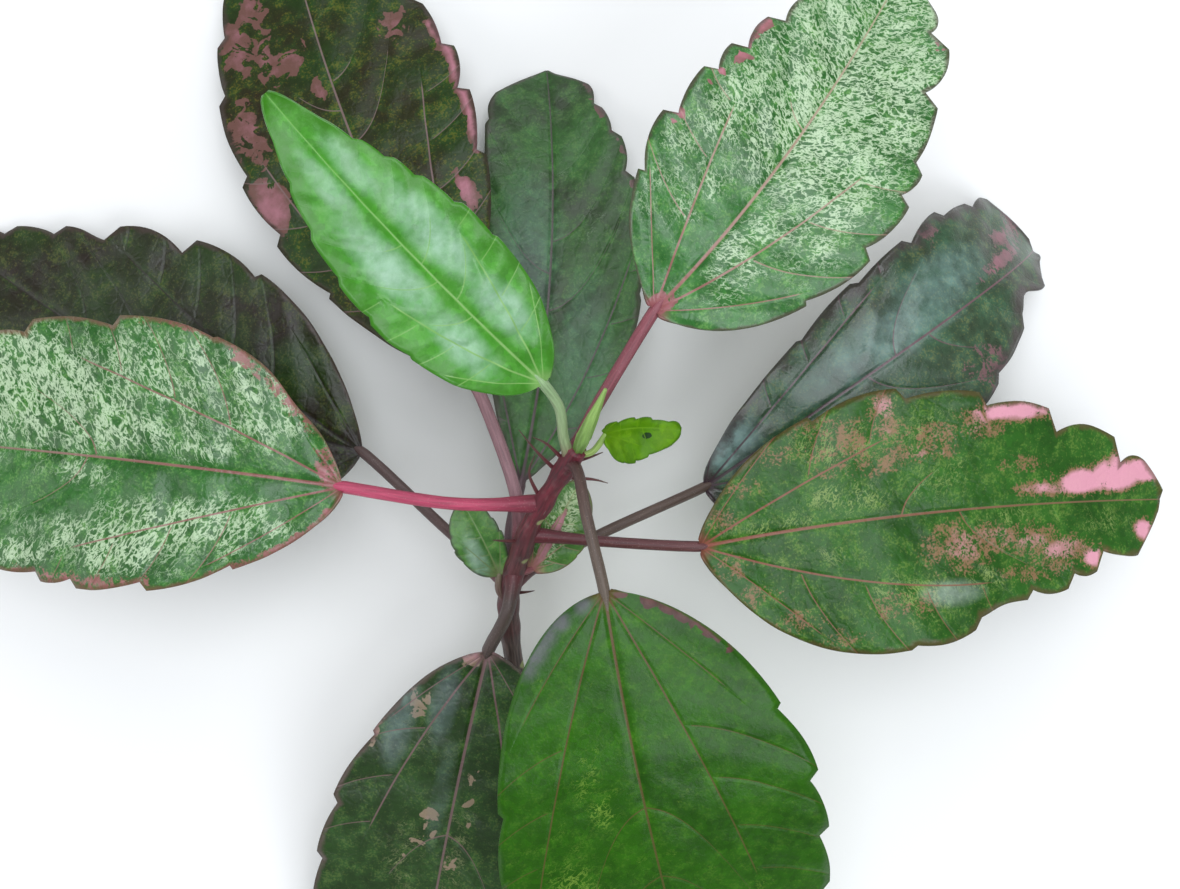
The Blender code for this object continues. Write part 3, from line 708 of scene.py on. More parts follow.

    # The rim colour along the margin: the leaves' own rim tint, and on the young long leaf painted shade
    # where its edges turn down
    edge = add(tree, "MapRange", {
        0: add(tree, "Math", {
            0: add(tree, "Math", {0: mottle, 1: -0.5}, operation="ADD")[0],
            1: 2.5 * margin_reach, 2: inset}, operation="MULTIPLY_ADD")[0],
        1: margin_reach, 2: margin_reach * 0.3, 4: 0.7})[0]
    tissue = add(tree, "Mix", {0: edge, 6: tissue, 7: linear(margin)}, data_type="RGBA")[2]
    vein_colour = add(tree, "Mix", {
        0: add(tree, "MapRange", {0: along, 1: 0.0, 2: length * 0.85})[0],
        6: linear(vein), 7: linear(vein_far)}, data_type="RGBA")[2]
    shown = add(tree, "Math", {0: on_vein, 1: 0.9}, operation="MULTIPLY")[0]
    tissue = add(tree, "Mix", {0: shown, 6: tissue, 7: vein_colour}, data_type="RGBA")[2]
    base_joint = add(tree, "MapRange", {
        0: add(tree, "Math", {0: along, 1: off_midrib}, operation="ADD")[0],
        1: 5.0, 2: 1.0, 4: 0.8}, interpolation_type="SMOOTHSTEP")[0]
    tissue = add(tree, "Mix", {0: base_joint, 6: tissue, 7: linear(vein)}, data_type="RGBA")[2]
    tree.links.new(tissue, surface.inputs["Base Color"])
    tree.links.new(
        add(tree, "MapRange", {0: mottle, 1: 0.3, 2: 0.7, 3: gloss - 0.06, 4: gloss + 0.08})[0],
        surface.inputs["Roughness"])
    surface.inputs["IOR"].default_value = wax

    # Relief in mm: sunken veins and net, and a faint grain
    sunk_net = add(tree, "MapRange", {0: net, 1: 0.0, 2: 0.2, 3: -net_relief, 4: 0.0},
                   interpolation_type="SMOOTHSTEP")[0]
    sunk_vein = add(tree, "MapRange", {0: inside, 1: -0.7, 2: 0.1, 3: 0.0, 4: -vein_relief},
                    interpolation_type="SMOOTHSTEP")[0]
    relief = add(tree, "Math", {0: sunk_net, 1: sunk_vein}, operation="ADD")[0]
    relief = add(tree, "Math", {0: fine, 1: 0.05, 2: relief}, operation="MULTIPLY_ADD")[0]
    tree.links.new(
        add(tree, "Bump", {"Strength": 0.7, "Distance": 0.001, "Height": relief})[0],
        surface.inputs["Normal"])
    return material


RIB_SPACING = 11.0


def leaf_underside(name, tissue, rib):
    """Underside of a leaf: duller and paler, with the veins standing out."""
    material = bpy.data.materials.new(name)
    material.use_nodes = True
    tree = material.node_tree
    surface = tree.nodes["Principled BSDF"]
    across, along, _ = add(tree, "SeparateXYZ", {0: add(
        tree, "Attribute", attribute_name="blade")["Vector"]})
    basal = add(tree, "SeparateXYZ", {0: add(
        tree, "Attribute", attribute_name="veins")["Vector"]})[0]
    basal_half, side_half, branch_half = add(tree, "SeparateXYZ", {0: add(
        tree, "Attribute", attribute_name="vein_widths")["Vector"]})
    side_turn, branch_turn, _ = add(tree, "SeparateXYZ", {0: add(
        tree, "Attribute", attribute_name="ribs_below")["Vector"]})
    flat = add(tree, "CombineXYZ", {0: across, 1: along})[0]
    net = add(tree, "TexVoronoi", {"Vector": flat, "Scale": 1 / 2.4},
              feature="DISTANCE_TO_EDGE")[0]
    mottle = add(tree, "TexNoise", {"Vector": flat, "Scale": 1 / 4, "Detail": 4.0})[0]
    off = add(tree, "Math", {0: basal}, operation="ABSOLUTE")[0]
    inside = add(tree, "Math", {0: basal_half, 1: off}, operation="SUBTRACT")[0]
    for half, turn in ((side_half, side_turn), (branch_half, branch_turn)):
        off = add(tree, "Math", {0: turn, 1: 0.5}, operation="PINGPONG")[0]
        depth = add(tree, "Math", {0: off, 1: -RIB_SPACING, 2: half}, operation="MULTIPLY_ADD")[0]
        inside = add(tree, "Math", {0: inside, 1: depth}, operation="MAXIMUM")[0]
    on_vein = add(tree, "MapRange", {0: inside, 1: -0.35, 2: 0.05},
                  interpolation_type="SMOOTHSTEP")[0]
    on_net = add(tree, "MapRange", {0: net, 1: 0.0, 2: 0.15, 3: 0.3, 4: 0.0})[0]
    ribs = add(tree, "Math", {0: on_vein, 1: on_net}, operation="MAXIMUM")[0]
    shade = add(tree, "MapRange", {0: mottle, 1: 0.3, 2: 0.7, 3: 0.85, 4: 1.12})[0]
    body = add(tree, "VectorMath", {0: linear(tissue)[:3], "Scale": shade}, operation="SCALE")[0]
    colour = add(tree, "Mix", {0: ribs, 6: body, 7: linear(rib)}, data_type="RGBA")[2]
    tree.links.new(colour, surface.inputs["Base Color"])
    surface.inputs["Roughness"].default_value = 0.6
    surface.inputs["IOR"].default_value = 1.45
    tree.links.new(
        add(tree, "Bump", {"Strength": 0.6, "Distance": 0.0003, "Height": ribs})[0],
        surface.inputs["Normal"])
    return material


# Old leaf underside: unwaxed, so dull, and greyer than the skin above
old_underside = leaf_underside("old_leaf_underside", "#5c6b4c", "#8a7466")

# Leaf stalk: a tender rind with short pale hairs and lengthwise ridges, satin
leaf_stalk_skin = bpy.data.materials.new("hairy_leaf_stalk_rind")
leaf_stalk_skin.use_nodes = True
tree = leaf_stalk_skin.node_tree
surface = tree.nodes["Principled BSDF"]
grain = add(tree, "Attribute", attribute_name="grain")["Vector"]
tint = add(tree, "Attribute", attribute_name="tint")["Vector"]
lengthwise = add(tree, "VectorMath", {0: grain, 1: (1.0, 1.0, 0.2)}, operation="MULTIPLY")[0]
ridges = add(tree, "TexNoise", {"Vector": lengthwise, "Scale": 1.2, "Detail": 3.0})[0]
hair_roots = add(tree, "TexVoronoi", {"Vector": grain, "Scale": 1.9})[0]
hair_mask = add(tree, "MapRange", {0: hair_roots, 1: 0.15, 2: 0.08, 4: 0.6})[0]
shade = add(tree, "MapRange", {0: ridges, 1: 0.3, 2: 0.7, 3: 0.75, 4: 1.25})[0]
rind = add(tree, "VectorMath", {0: tint, "Scale": shade}, operation="SCALE")[0]
haired = add(tree, "Mix", {0: hair_mask, 6: rind, 7: linear("#c9bcb4")}, data_type="RGBA")[2]
tree.links.new(haired, surface.inputs["Base Color"])
surface.inputs["Roughness"].default_value = 0.5
tree.links.new(
    add(tree, "Bump", {"Strength": 0.6, "Distance": 0.0002, "Height": ridges})[0],
    surface.inputs["Normal"])

back_left = Leaf(
    stalk=[(-13.0, -19.5, 39.6), (-14.8, -8.0, 35.2), (-20.6, 7.6, 31.2)],
    midrib=[(-24.2, 14.2, 29.2), (-49.7, 55.6, 24.0), (-65.6, 112.7, 0.8)],
    left=Margin(23.8, 0.55, 1.45, 1.3, (0.37, 0.49, 0.66, 0.78, 0.88, 0.95),
                first_side_vein=62.0, first_branch=20.0),
    right=Margin(25.2, 0.55, 1.25, 1.5, (0.36, 0.5, 0.615, 0.73, 0.84, 0.93),
                 tooth_sizes=(0.8, 1.0, 1.7, 0.8, 1.0, 1.0),
                 basal=(0.33, 0.0008, 0.66), first_side_vein=54.0, first_branch=26.0),
    tooth_depth=2.2, stalk_radius=1.25, cup=-0.06, wave=1.2, wave_phase=0.4,
    blush=[(0.76, -17, 8, 4.5, 0.74), (0.72, -11, 8, 3.5, 0.7), (0.70, -6, 5, 4, 0.66),
           (0.61, -3, 3.5, 1.6, 0.74), (0.58, -20, 9, 5, 0.72), (0.44, -20, 7, 4.0, 1.0),
           (0.70, 16, 6, 4, 0.7), (0.31, 17, 5, 2, 1.3), (0.83, -12, 6, 4, 0.7),
           (0.9, 6, 6, 5, 0.7)],
)
back_left.blush += edge_marks(back_left.right, 1, 0.38, 0.68, 1.3, 1.3)
back_left_skin = leaf_skin(
    "aged_leaf_with_pink_patches", back_left, 3.0,
    deep="#28210f", mid="#1f350d", fresh="#285616", vein="#74565a", vein_far="#7d6c66",
    margin="#41372f", blush="#6a4a42", rose="#a8707c", speckle="#8f8228", speckle_share=0.22,
    wax=1.35,
)
back_left_blade = make_blade("blade_back_left", back_left, back_left_skin, old_underside)
back_left_stalk = make_stalk("stalk_back_left", back_left, "#8f6d73", "#8a6468", "#8a7466")
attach(back_left_blade, "root")
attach(back_left_stalk, "root")
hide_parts("leaf_back_left")

# Back middle leaf.
# A plain old leaf straight behind, dark green with a painted bluish sheen, a grey-purple midrib
# and a few dried scratches. Its blade bends down until the tip lies on the table.
back_middle = Leaf(
    stalk=[(-15.7, -36.0, 28.4), (-16.4, -27.0, 24.4), (-16.0, -17.0, 23.6)],
    midrib=[(-14.0, -8.0, 23.0), (-4.6, 34.7, 22.0), (-9.3, 80.4, 0.6)],
    left=Margin(15.5, 0.6, 1.3, 1.2, (0.5, 0.61, 0.73, 0.85, 0.94),
                swells=((0.92, 2.4, 0.07),), first_side_vein=44.0),
    right=Margin(19.0, 0.46, 2.2, 1.15, (0.57, 0.7, 0.8, 0.88, 0.95),
                 tooth_sizes=(0.8, 1.2, 2.2, 1.2, 1.5), swells=((0.95, 1.6, 0.04),),
                 first_side_vein=36.0),
    tooth_depth=1.3, cup=0.05, wave=0.8, wave_phase=2.0,
    cream=[(0.3, -2, 4, 1.5, 0.5), (0.43, -2, 4, 1.5, 0.55), (0.6, 9, 5, 4, 0.35)],
    painted_sheen=[(0.5, -5, 24, 8, 0.6), (0.3, 8, 20, 7, 0.5)],
)
back_middle.blush = edge_marks(back_middle.right, 1, 0.55, 0.95, 1.0, 0.55)
back_middle_skin = leaf_skin(
    "aged_bluish_leaf", back_middle, 11.0,
    deep="#2b3c22", mid="#305c26", fresh="#447a3a", vein="#554449", vein_far="#4d4745",
    margin="#4f4a44", blush="#6d5550", cream="#93a88c", speckle="#6f8f4a", speckle_share=0.2,
    painted_sheen="#6f9088",
)
back_middle_blade = make_blade("blade_back_middle", back_middle, back_middle_skin, old_underside)
back_middle_stalk = make_stalk("stalk_back_middle", back_middle, "#6a5055", "#5a4a50", "#8a7466")
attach(back_middle_blade, "root")
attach(back_middle_stalk, "root")
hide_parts("leaf_back_middle")

# Right under leaf.
# An old leaf on the right that passes under the rosy one. Its skin has a painted bluish
# sheen in the middle and turns purple-brown at the margin.
right_under = Leaf(
    stalk=[(-15.0, -27.0, 34.3), (-9.0, -23.2, 30.2), (4.0, -16.8, 28.5)],
    midrib=[(23.0, -8.5, 25.0), (80.3, 31.5, 45.0), (95.3, 41.7, 0.4)],
    left=Margin(17.8, 0.68, 0.95, 1.35, (0.46, 0.6, 0.72, 0.83, 0.93),
                tooth_sizes=(0.8, 0.6, 2.0, 0.7, 2.0), swells=((0.92, 1.4, 0.06),),
                basal=(0.27, 0.0, 0.6), first_side_vein=46.0, first_branch=20.0),
    right=Margin(22.0, 0.3, 1.3, 1.75, (0.45, 0.6, 0.74, 0.88, 0.95),
                 tooth_sizes=(0.6, 0.8, 1.0, 1.4, 0.8),
                 swells=((0.8, -2.6, 0.04), (0.89, 1.8, 0.04)), first_side_vein=39.0),
    tooth_depth=1.7, stalk_radius=1.05, cup=-0.05, wave=0.8,
    blush=[(0.80, -3, 12, 2.2, 0.75), (0.86, -7, 7, 2.4, 0.7), (0.60, 12, 6, 5, 0.55),
           (0.62, 18, 5, 4, 0.75), (0.66, -15.5, 4, 3, 0.6), (0.95, -7, 6, 5, 0.6)],
    painted_sheen=[(0.46, -4, 24, 6, 0.8), (0.08, -4, 8, 4.5, 1.5), (0.62, -7, 16, 6, 0.75)],
)
right_under_skin = leaf_skin(
    "aged_waxy_leaf", right_under, 17.0,
    deep="#333c2b", mid="#345338", fresh="#467758", vein="#4a3640", vein_far="#7d5a62",
    margin="#4b3f40", margin_reach=3.0, blush="#7a5a5c", rose="#b87888", speckle="#93904a",
    speckle_share=0.25, painted_sheen="#8caaa8", fine_blush=0.4, gloss=0.3, wax=1.5,
    net_relief=0.02,
)
right_under_blade = make_blade("blade_right_under", right_under, right_under_skin, old_underside)
right_under_stalk = make_stalk("stalk_right_under", right_under, "#56423c", "#66564c", "#8a7466")
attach(right_under_blade, "root")
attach(right_under_stalk, "root")
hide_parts("leaf_right_under")

# Left under leaf.
# The darkest leaf, under the marbled one on the left: brown-olive with green showing
# through in soft patches, and nearly black sunken veins. A faint grey sheen is painted on its right half.
left_under = Leaf(
    stalk=[(-15.2, -27.8, 33.8), (-29.0, -17.0, 23.0)],
    midrib=[(-46.5, -1.5, 19.0), (-91.0, 10.0, 18.0), (-139.5, 46.5, 0.8)],
    left=Margin(24.0, 0.4, 1.6, 1.2, (0.42, 0.55, 0.68, 0.8, 0.91)),
    right=Margin(28.0, 0.38, 2.1, 1.8, (0.49, 0.65, 0.76, 0.86, 0.94),
                 tooth_sizes=(1.3, 2.6, 1.2, 1.5, 1.2), swells=((0.68, -1.4, 0.05),),
                 basal=(0.33, 0.0008, 0.72), first_branch=22.0, first_side_vein=50.0),
    tooth_depth=2.2, wave=0.8, wave_phase=3.6,
    painted_sheen=[(0.2, 14, 16, 6, 0.35), (0.45, 22, 22, 5, 0.25)],
)
left_under_skin = leaf_skin(
    "aged_brown_olive_leaf", left_under, 23.0,
    deep="#20180c", mid="#1e3408", fresh="#284b12", vein="#251e1c", vein_far="#28241c",
    margin="#4a3c38", speckle="#7b7a3a", speckle_share=0.2, painted_sheen="#55605e",
)
left_under_blade = make_blade("blade_left_under", left_under, left_under_skin, old_underside)
left_under_stalk = make_stalk("stalk_left_under", left_under, "#5a4543", "#574744", "#8a7466")
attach(left_under_blade, "root")
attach(left_under_stalk, "root")
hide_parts("leaf_left_under")

# Front left leaf.
# An old leaf in front, dark green with a painted blue-grey shine near its base right of the
# midrib, tan blotches along the midrib and a pink rim near the base.
front_left = Leaf(
    stalk=[(-14.5, -24.5, 36.0), (-16.0, -32.5, 37.5)],
    midrib=[(-20.0, -40.5, 33.0), (-30.3, -82.2, 27.0), (-40.0, -137.0, 0.6)],
    left=Margin(24.0, 0.45, 1.15, 1.15, (0.42, 0.55, 0.68, 0.8, 0.91),
                basal=(0.42, 0.0022, 0.6), first_branch=24.0),
    right=Margin(24.5, 0.49, 1.35, 1.15, (0.34, 0.47, 0.6, 0.73, 0.87),
                 basal=(0.5, 0.003, 0.5), first_branch=18.0),
    tooth_depth=1.6, stalk_radius=1.3, cup=0.02, wave=0.8, wave_phase=1.6,
    blush=[(0.125, 11, 4, 3, 0.55), (0.24, -2.5, 4, 2, 0.55), (0.37, 4, 5, 2.5, 0.6),
           (0.43, 6, 4, 2.5, 0.6), (0.2, 18.3, 5, 1.4, 0.8), (0.015, 3, 2.5, 3, 0.9),
           (0.45, -2, 5, 2, 0.5), (0.33, -3, 6, 1.5, 0.5)],
    cream=[(0.42, -2.5, 14, 3, 0.6), (0.45, 8, 10, 4, 0.55), (0.2, 10, 8, 4, 0.4)],
    painted_sheen=[(0.16, 14, 12, 3.5, 0.8), (0.12, 6, 9, 3, 0.8), (0.3, 3, 16, 2.5, 0.4)],
)
front_left_skin = leaf_skin(
    "aged_dark_leaf", front_left, 29.0,
    deep="#1a300d", mid="#234016", fresh="#325f24", vein="#75585a", vein_far="#685a53",
    margin="#5c4a46", blush="#857560", rose="#c9899a", speckle="#7f8f48", speckle_share=0.16,
    cream="#93996a", painted_sheen="#7d8c92",
)
front_left_blade = make_blade("blade_front_left", front_left, front_left_skin, old_underside)
front_left_stalk = make_stalk("stalk_front_left", front_left, "#4a3c38", "#5c4f4a", "#8a7466")
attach(front_left_blade, "root")
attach(front_left_stalk, "root")
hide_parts("leaf_front_left")

# Small side leaves.
# Two small leaves low on the stem: the left one plain green with a pale sheen painted beside its
# midrib, the right one with a pink and cream streak along its midrib.
side_left = Leaf(
    stalk=[(-16.0, -31.5, 30.7), (-17.7, -28.3, 34.3)],
    midrib=[(-17.5, -25.4, 36.0), (-20.6, -17.2, 41.0), (-24.6, -10.6, 40.0)],
    left=Margin(5.7, 0.5, 1.2, 1.1, (0.5, 0.66, 0.83), first_side_vein=5.0, first_branch=3.0),
    right=Margin(3.8, 0.48, 1.1, 1.1, (0.5, 0.66, 0.83), first_side_vein=6.5, first_branch=3.0),
    tooth_depth=0.4, stalk_radius=0.7, cup=0.1, wave=0.3, quilt=0.15, ruffle=0.06,
    side_spacing=4.0, branch_spacing=4.0, vein_girth=0.55, painted_sheen=[(0.3, -2.5, 6, 2, 1.0)],
)
side_left_skin = leaf_skin(
    "small_green_leaf", side_left, 31.0,
    deep="#3a6a2c", mid="#4a7a34", fresh="#5f9148", vein="#6d7a50", vein_far="#6d8a55",
    margin="#3c3a34", margin_reach=0.6, speckle_share=0.15, painted_sheen="#9fb4ae",
)
side_left_blade = make_blade("blade_side_left", side_left, side_left_skin, old_underside)
side_left_stalk = make_stalk("stalk_side_left", side_left, "#6d4a4e", "#6d7a50", "#7d8a66")
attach(side_left_blade, "root")
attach(side_left_stalk, "root")
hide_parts("side_leaf_left")

side_right = Leaf(
    stalk=[(-14.0, -24.4, 36.6), (-12.8, -24.6, 36.2)],
    midrib=[(-11.4, -24.2, 35.8), (-7.1, -16.5, 37.2), (-1.7, -6.8, 37.6)],
    left=Margin(4.0, 0.48, 1.2, 1.1, (0.5, 0.66, 0.83), first_side_vein=5.0, first_branch=3.0),
    right=Margin(6.7, 0.42, 1.4, 1.1, (0.5, 0.66, 0.83), first_side_vein=6.5, first_branch=3.0),
    tooth_depth=0.4, stalk_radius=0.7, cup=0.08, wave=0.3, quilt=0.15, ruffle=0.06,
    side_spacing=4.0, branch_spacing=4.0, vein_girth=0.55,
    blush=[(0.35, 0.3, 7, 1.0, 1.2)], cream=[(0.55, 0.6, 9, 2.8, 1.6)],
)
side_right_skin = leaf_skin(
    "small_streaked_leaf", side_right, 37.0,
    deep="#3a6a24", mid="#4a7d30", fresh="#62964a", vein="#a06a66", vein_far="#94a06a",
    margin="#6d5a48", margin_reach=0.5, blush="#a87878", rose="#d79aa8", speckle_share=0.2,
)
side_right_blade = make_blade("blade_side_right", side_right, side_right_skin, old_underside)
side_right_stalk = make_stalk("stalk_side_right", side_right, "#7d4450", "#a06a66", "#8a7466")
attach(side_right_blade, "root")
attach(side_right_stalk, "root")
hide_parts("side_leaf_right")

# Rosy-tipped leaf.
# The right-hand leaf, green with fine yellow-green and brown-pink speckling that thickens
# into a clear pink streak at the tip. Its veins are brown-red and sunk into the skin.
# A pale sheen is painted on its right half and at its left margin.
rosy_tip = Leaf(
    stalk=[(-12.0, -17.0, 42.0), (4.0, -18.5, 42.0)],
    midrib=[(21.0, -19.5, 41.0), (60.8, -10.8, 50.0), (114.4, -11.0, 24.0)],
    left=Margin(23.0, 0.39, 1.95, 1.2, (0.41, 0.57, 0.73, 0.875, 0.95),
                tooth_sizes=(0.9, 0.8, 1.5, 3.0, 2.6), swells=((0.87, -0.6, 0.04),),
                basal=(0.4, 0.0, 0.48), low_basal=(1.15, 0.006, 0.3),
                first_side_vein=38.9, first_branch=22.0),
    right=Margin(25.5, 0.35, 2.0, 1.3, (0.53, 0.66, 0.755, 0.825, 0.93),
                 tooth_sizes=(0.6, 0.7, 1.1, 1.4, 2.2),
                 swells=((0.61, -3.0, 0.08), (0.95, 3.6, 0.05)),
                 basal=(0.52, 0.0047, 0.68), low_basal=(1.0, 0.0, 0.28),
                 first_side_vein=50.5, first_branch=18.0),
    tooth_depth=2.8, stalk_radius=1.05, cup=0.03, wave=1.0, wave_phase=0.5,
    side_spacing=20.0, branch_spacing=12.0,
    blush=[(0.66, -8, 5.5, 1.8, 0.62), (0.72, -3, 8, 1.6, 1.0), (0.80, -4, 6, 2.6, 1.8),
           (0.88, -5, 6, 3.2, 1.9), (0.955, -6, 6, 2.4, 1.9), (0.385, -21.5, 2.5, 3, 0.95),
           (0.38, -17.5, 3.5, 4, 0.62), (0.32, -10, 9, 2.2, 0.6), (0.45, -11.5, 8, 2, 0.66),
           (0.47, -15, 8, 2.4, 0.62), (0.57, -15.2, 6, 1.8, 0.7), (0.29, -15.5, 8, 5, 0.52),
           (0.64, -18.2, 10, 1.8, 1.6), (0.51, 7, 8, 5, 0.7), (0.50, 11.5, 5, 2, 0.55),
           (0.58, 6, 7, 3.4, 0.78), (0.66, 6.2, 8, 3.2, 0.78), (0.75, 9, 8, 3, 0.85),
           (0.82, 11, 3, 2, 1.4), (0.68, 13, 9, 2, 0.62), (0.95, 5.8, 2.6, 2.2, 1.6),
           (0.39, 16.8, 8, 3.6, 0.45), (0.05, 5, 5, 3, 0.4), (0.10, 11.5, 6, 2.5, 0.5),
           (0.17, 17.5, 7, 2.5, 0.5), (0.25, 22, 7, 2, 0.45), (0.05, -4, 4, 2.5, 0.45),
           (0.10, -9.5, 5, 2, 0.5), (0.17, -14.5, 6, 2, 0.5), (0.25, -18.5, 6, 2, 0.5)],
    cream=[(0.30, -4.5, 12, 3.5, 0.85), (0.16, -1.5, 10, 2, 0.7), (0.47, -7, 9, 5, 0.6),
           (0.28, -15, 9, 6, 0.75), (0.40, 16, 10, 6, 0.7), (0.55, 14, 8, 3, 0.8),
           (0.45, -17, 8, 4, 0.6), (0.62, 2, 9, 2, 0.6), (0.86, 4, 7, 3, 0.7),
           (0.22, 6, 12, 3, 0.45)],
    painted_sheen=[(0.49, 15.5, 7, 2.5, 1.0), (0.57, -20, 10, 1.5, 0.4)],
)
rosy_tip_skin = leaf_skin(
    "green_leaf_with_pink_tip", rosy_tip, 41.0,
    deep="#1f4a10", mid="#2a5c1a", fresh="#3f7424", vein="#8a4f44", vein_far="#7d6048",
    margin="#5d4c30", margin_reach=1.2, blush="#8c6a4e", rose="#eaa2b6", cream="#94a860",
    speckle="#7f9a44", speckle_share=0.3, fine_blush=1.15, painted_sheen="#a9b8ac", gloss=0.34,
    wax=1.35,
)
rosy_tip_blade = make_blade("blade_rosy_tip", rosy_tip, rosy_tip_skin, old_underside)
rosy_tip_stalk = make_stalk("stalk_rosy_tip", rosy_tip, "#54262b", "#5f3a38", "#8a7466")
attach(rosy_tip_blade, "root")
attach(rosy_tip_stalk, "root")
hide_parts("leaf_rosy_tip")

# Marbled left leaf.
# The left-hand leaf, marbled with cream scribbles where the green is missing, plain along
# the lower side of its midrib, with a pink strip at the base and pink lower teeth. Its
# stalk is the brightest pink on the shoot.
marbled_left = Leaf(
    stalk=[(-8.8, -11.0, 47.6), (-26.0, -11.0, 47.0)],
    midrib=[(-46.5, -8.0, 45.0), (-89.0, -1.6, 52.0), (-144.0, 1.4, 20.0)],
    left=Margin(24.3, 0.48, 1.25, 0.95, (0.33, 0.475, 0.56, 0.68, 0.81, 0.92),
                basal=(0.36, 0.0003, 0.6), low_basal=(0.9, 0.006, 0.3),
                first_side_vein=50.0, first_branch=20.0),
    right=Margin(26.8, 0.37, 2.2, 0.95, (0.44, 0.62, 0.71, 0.8, 0.88, 0.95),
                 tooth_sizes=(0.6, 1.8, 1.2, 1.3, 1.3, 1.3), swells=((0.1, -1.4, 0.04),),
                 basal=(0.39, 0.0008, 0.62), low_basal=(1.1, 0.006, 0.12),
                 first_side_vein=48.0, first_branch=22.0),
    tooth_depth=2.0, stalk_radius=1.2, cup=0.04, wave=1.0, wave_phase=2.4, quilt=0.7,
    side_spacing=20.0,
    cream=[(0.36, 17, 26, 11, 1.0), (0.62, 12, 32, 13, 1.5), (0.45, 6, 22, 5, 1.35),
           (0.28, 4, 11, 3, 1.15), (0.28, -11, 18, 5.5, 1.45), (0.42, -16, 18, 6, 1.45),
           (0.17, -6.5, 9, 3, 1.1), (0.5, -3.5, 9, 2.5, 1.05), (0.6, -19.5, 12, 3, 1.2),
           (0.84, 8, 22, 16, 1.5), (0.8, -14, 18, 7, 0.8), (0.16, 12, 12, 9, 1.1),
           (0.12, -9, 8, 3, 1.0)],
)
marbled_left.blush = [
    *edge_marks(marbled_left.right, 1, 0.02, 0.22, 2.1, 0.62),
    *edge_marks(marbled_left.right, 1, 0.25, 0.42, 1.0, 0.55),
    *edge_marks(marbled_left.left, -1, 0.02, 0.22, 0.9, 0.75),
    *edge_marks(marbled_left.left, -1, 0.34, 0.62, 1.7, 0.72), (0.03, 2, 3, 3, 0.8),
]
marbled_left_skin = leaf_skin(
    "cream_marbled_leaf", marbled_left, 47.0,
    deep="#1f5418", mid="#2a6322", fresh="#3f8030", vein="#8d5050", vein_far="#7d6254",
    margin="#7d5648", margin_reach=1.0, blush="#8d5a54", rose="#cf8296", cream="#c0d8b0",
    speckle="#7fae5a", speckle_share=0.3, fine_blush=0.5, gloss=0.3, wax=1.5, stroke=1.5,
)
marbled_left_blade = make_blade("blade_marbled_left", marbled_left, marbled_left_skin, old_underside)
marbled_left_stalk = make_stalk("stalk_marbled_left", marbled_left, "#a83c58", "#c0506e", "#9c7466")
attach(marbled_left_blade, "root")
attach(marbled_left_stalk, "root")
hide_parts("leaf_marbled_left")

# Marbled back leaf.
# The back right leaf, marbled with cream scribbles that thicken towards its far and right
# sides and leave glossy green islands. Its teeth have dark rims and pink notches.
marbled_back = Leaf(
    stalk=[(-4.9, -4.9, 54.2), (-0.9, 3.0, 53.8), (2.0, 8.3, 55.2)],
    midrib=[(11.5, 24.0, 60.0), (35.4, 47.3, 70.0), (58.4, 88.5, 48.0)],
    left=Margin(20.9, 0.33, 2.2, 1.1, (0.35, 0.485, 0.575, 0.695, 0.79, 0.89),
                tooth_sizes=(1.2, 1.1, 1.2, 1.7, 1.4, 1.4),
                basal=(0.47, 0.0036, 0.56), low_basal=(1.05, 0.006, 0.3),
                first_side_vein=42.0, first_branch=16.0),
    right=Margin(22.2, 0.41, 1.5, 1.2, (0.36, 0.495, 0.575, 0.72, 0.85, 0.93),
                 tooth_sizes=(0.8, 1.2, 1.2, 0.8, 3.0, 2.2),
                 basal=(0.36, 0.0009, 0.6), low_basal=(1.0, 0.005, 0.3),
                 first_side_vein=50.1, first_branch=18.0),
    tooth_depth=2.4, stalk_radius=1.15, cup=0.05, wave=1.0, wave_phase=1.0, quilt=0.7,
    cream=[(0.66, 3, 32, 21, 1.4), (0.44, 11, 18, 9, 1.3), (0.25, 3.5, 12, 4, 1.2),
           (0.48, -12, 17, 6, 1.2), (0.3, -9, 12, 5, 0.9), (0.86, 0, 20, 18, 1.4),
           (0.16, 7, 9, 3, 0.85), (0.25, -14, 9, 4, 0.8), (0.3, 15, 8, 3, 0.6), (0.38, -17, 12, 4, 0.85)],
    blush=[(0.36, -19.5, 2, 1.4, 0.9), (0.49, -18, 2.5, 1.3, 1.0), (0.58, -17, 4, 1.4, 1.0),
           (0.67, -16.5, 5, 1.4, 0.8), (0.85, 13, 3, 1.2, 0.8), (0.02, 0, 3, 2.5, 1.0)],
)
marbled_back_skin = leaf_skin(
    "cream_flecked_leaf", marbled_back, 53.0,
    deep="#225a1e", mid="#2f6b2a", fresh="#488a3a", vein="#96595a", vein_far="#a89c80",
    margin="#5a4a44", margin_reach=0.9, blush="#8a5f5a", rose="#c9788a", cream="#c6deb6",
    speckle="#7fae5a", speckle_share=0.3, gloss=0.3, wax=1.5,
)
marbled_back_blade = make_blade("blade_marbled_back", marbled_back, marbled_back_skin, old_underside)
marbled_back_stalk = make_stalk("stalk_marbled_back", marbled_back, "#6f3a42", "#94505a", "#9c7466")
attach(marbled_back_blade, "root")
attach(marbled_back_stalk, "root")
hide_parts("leaf_marbled_back")
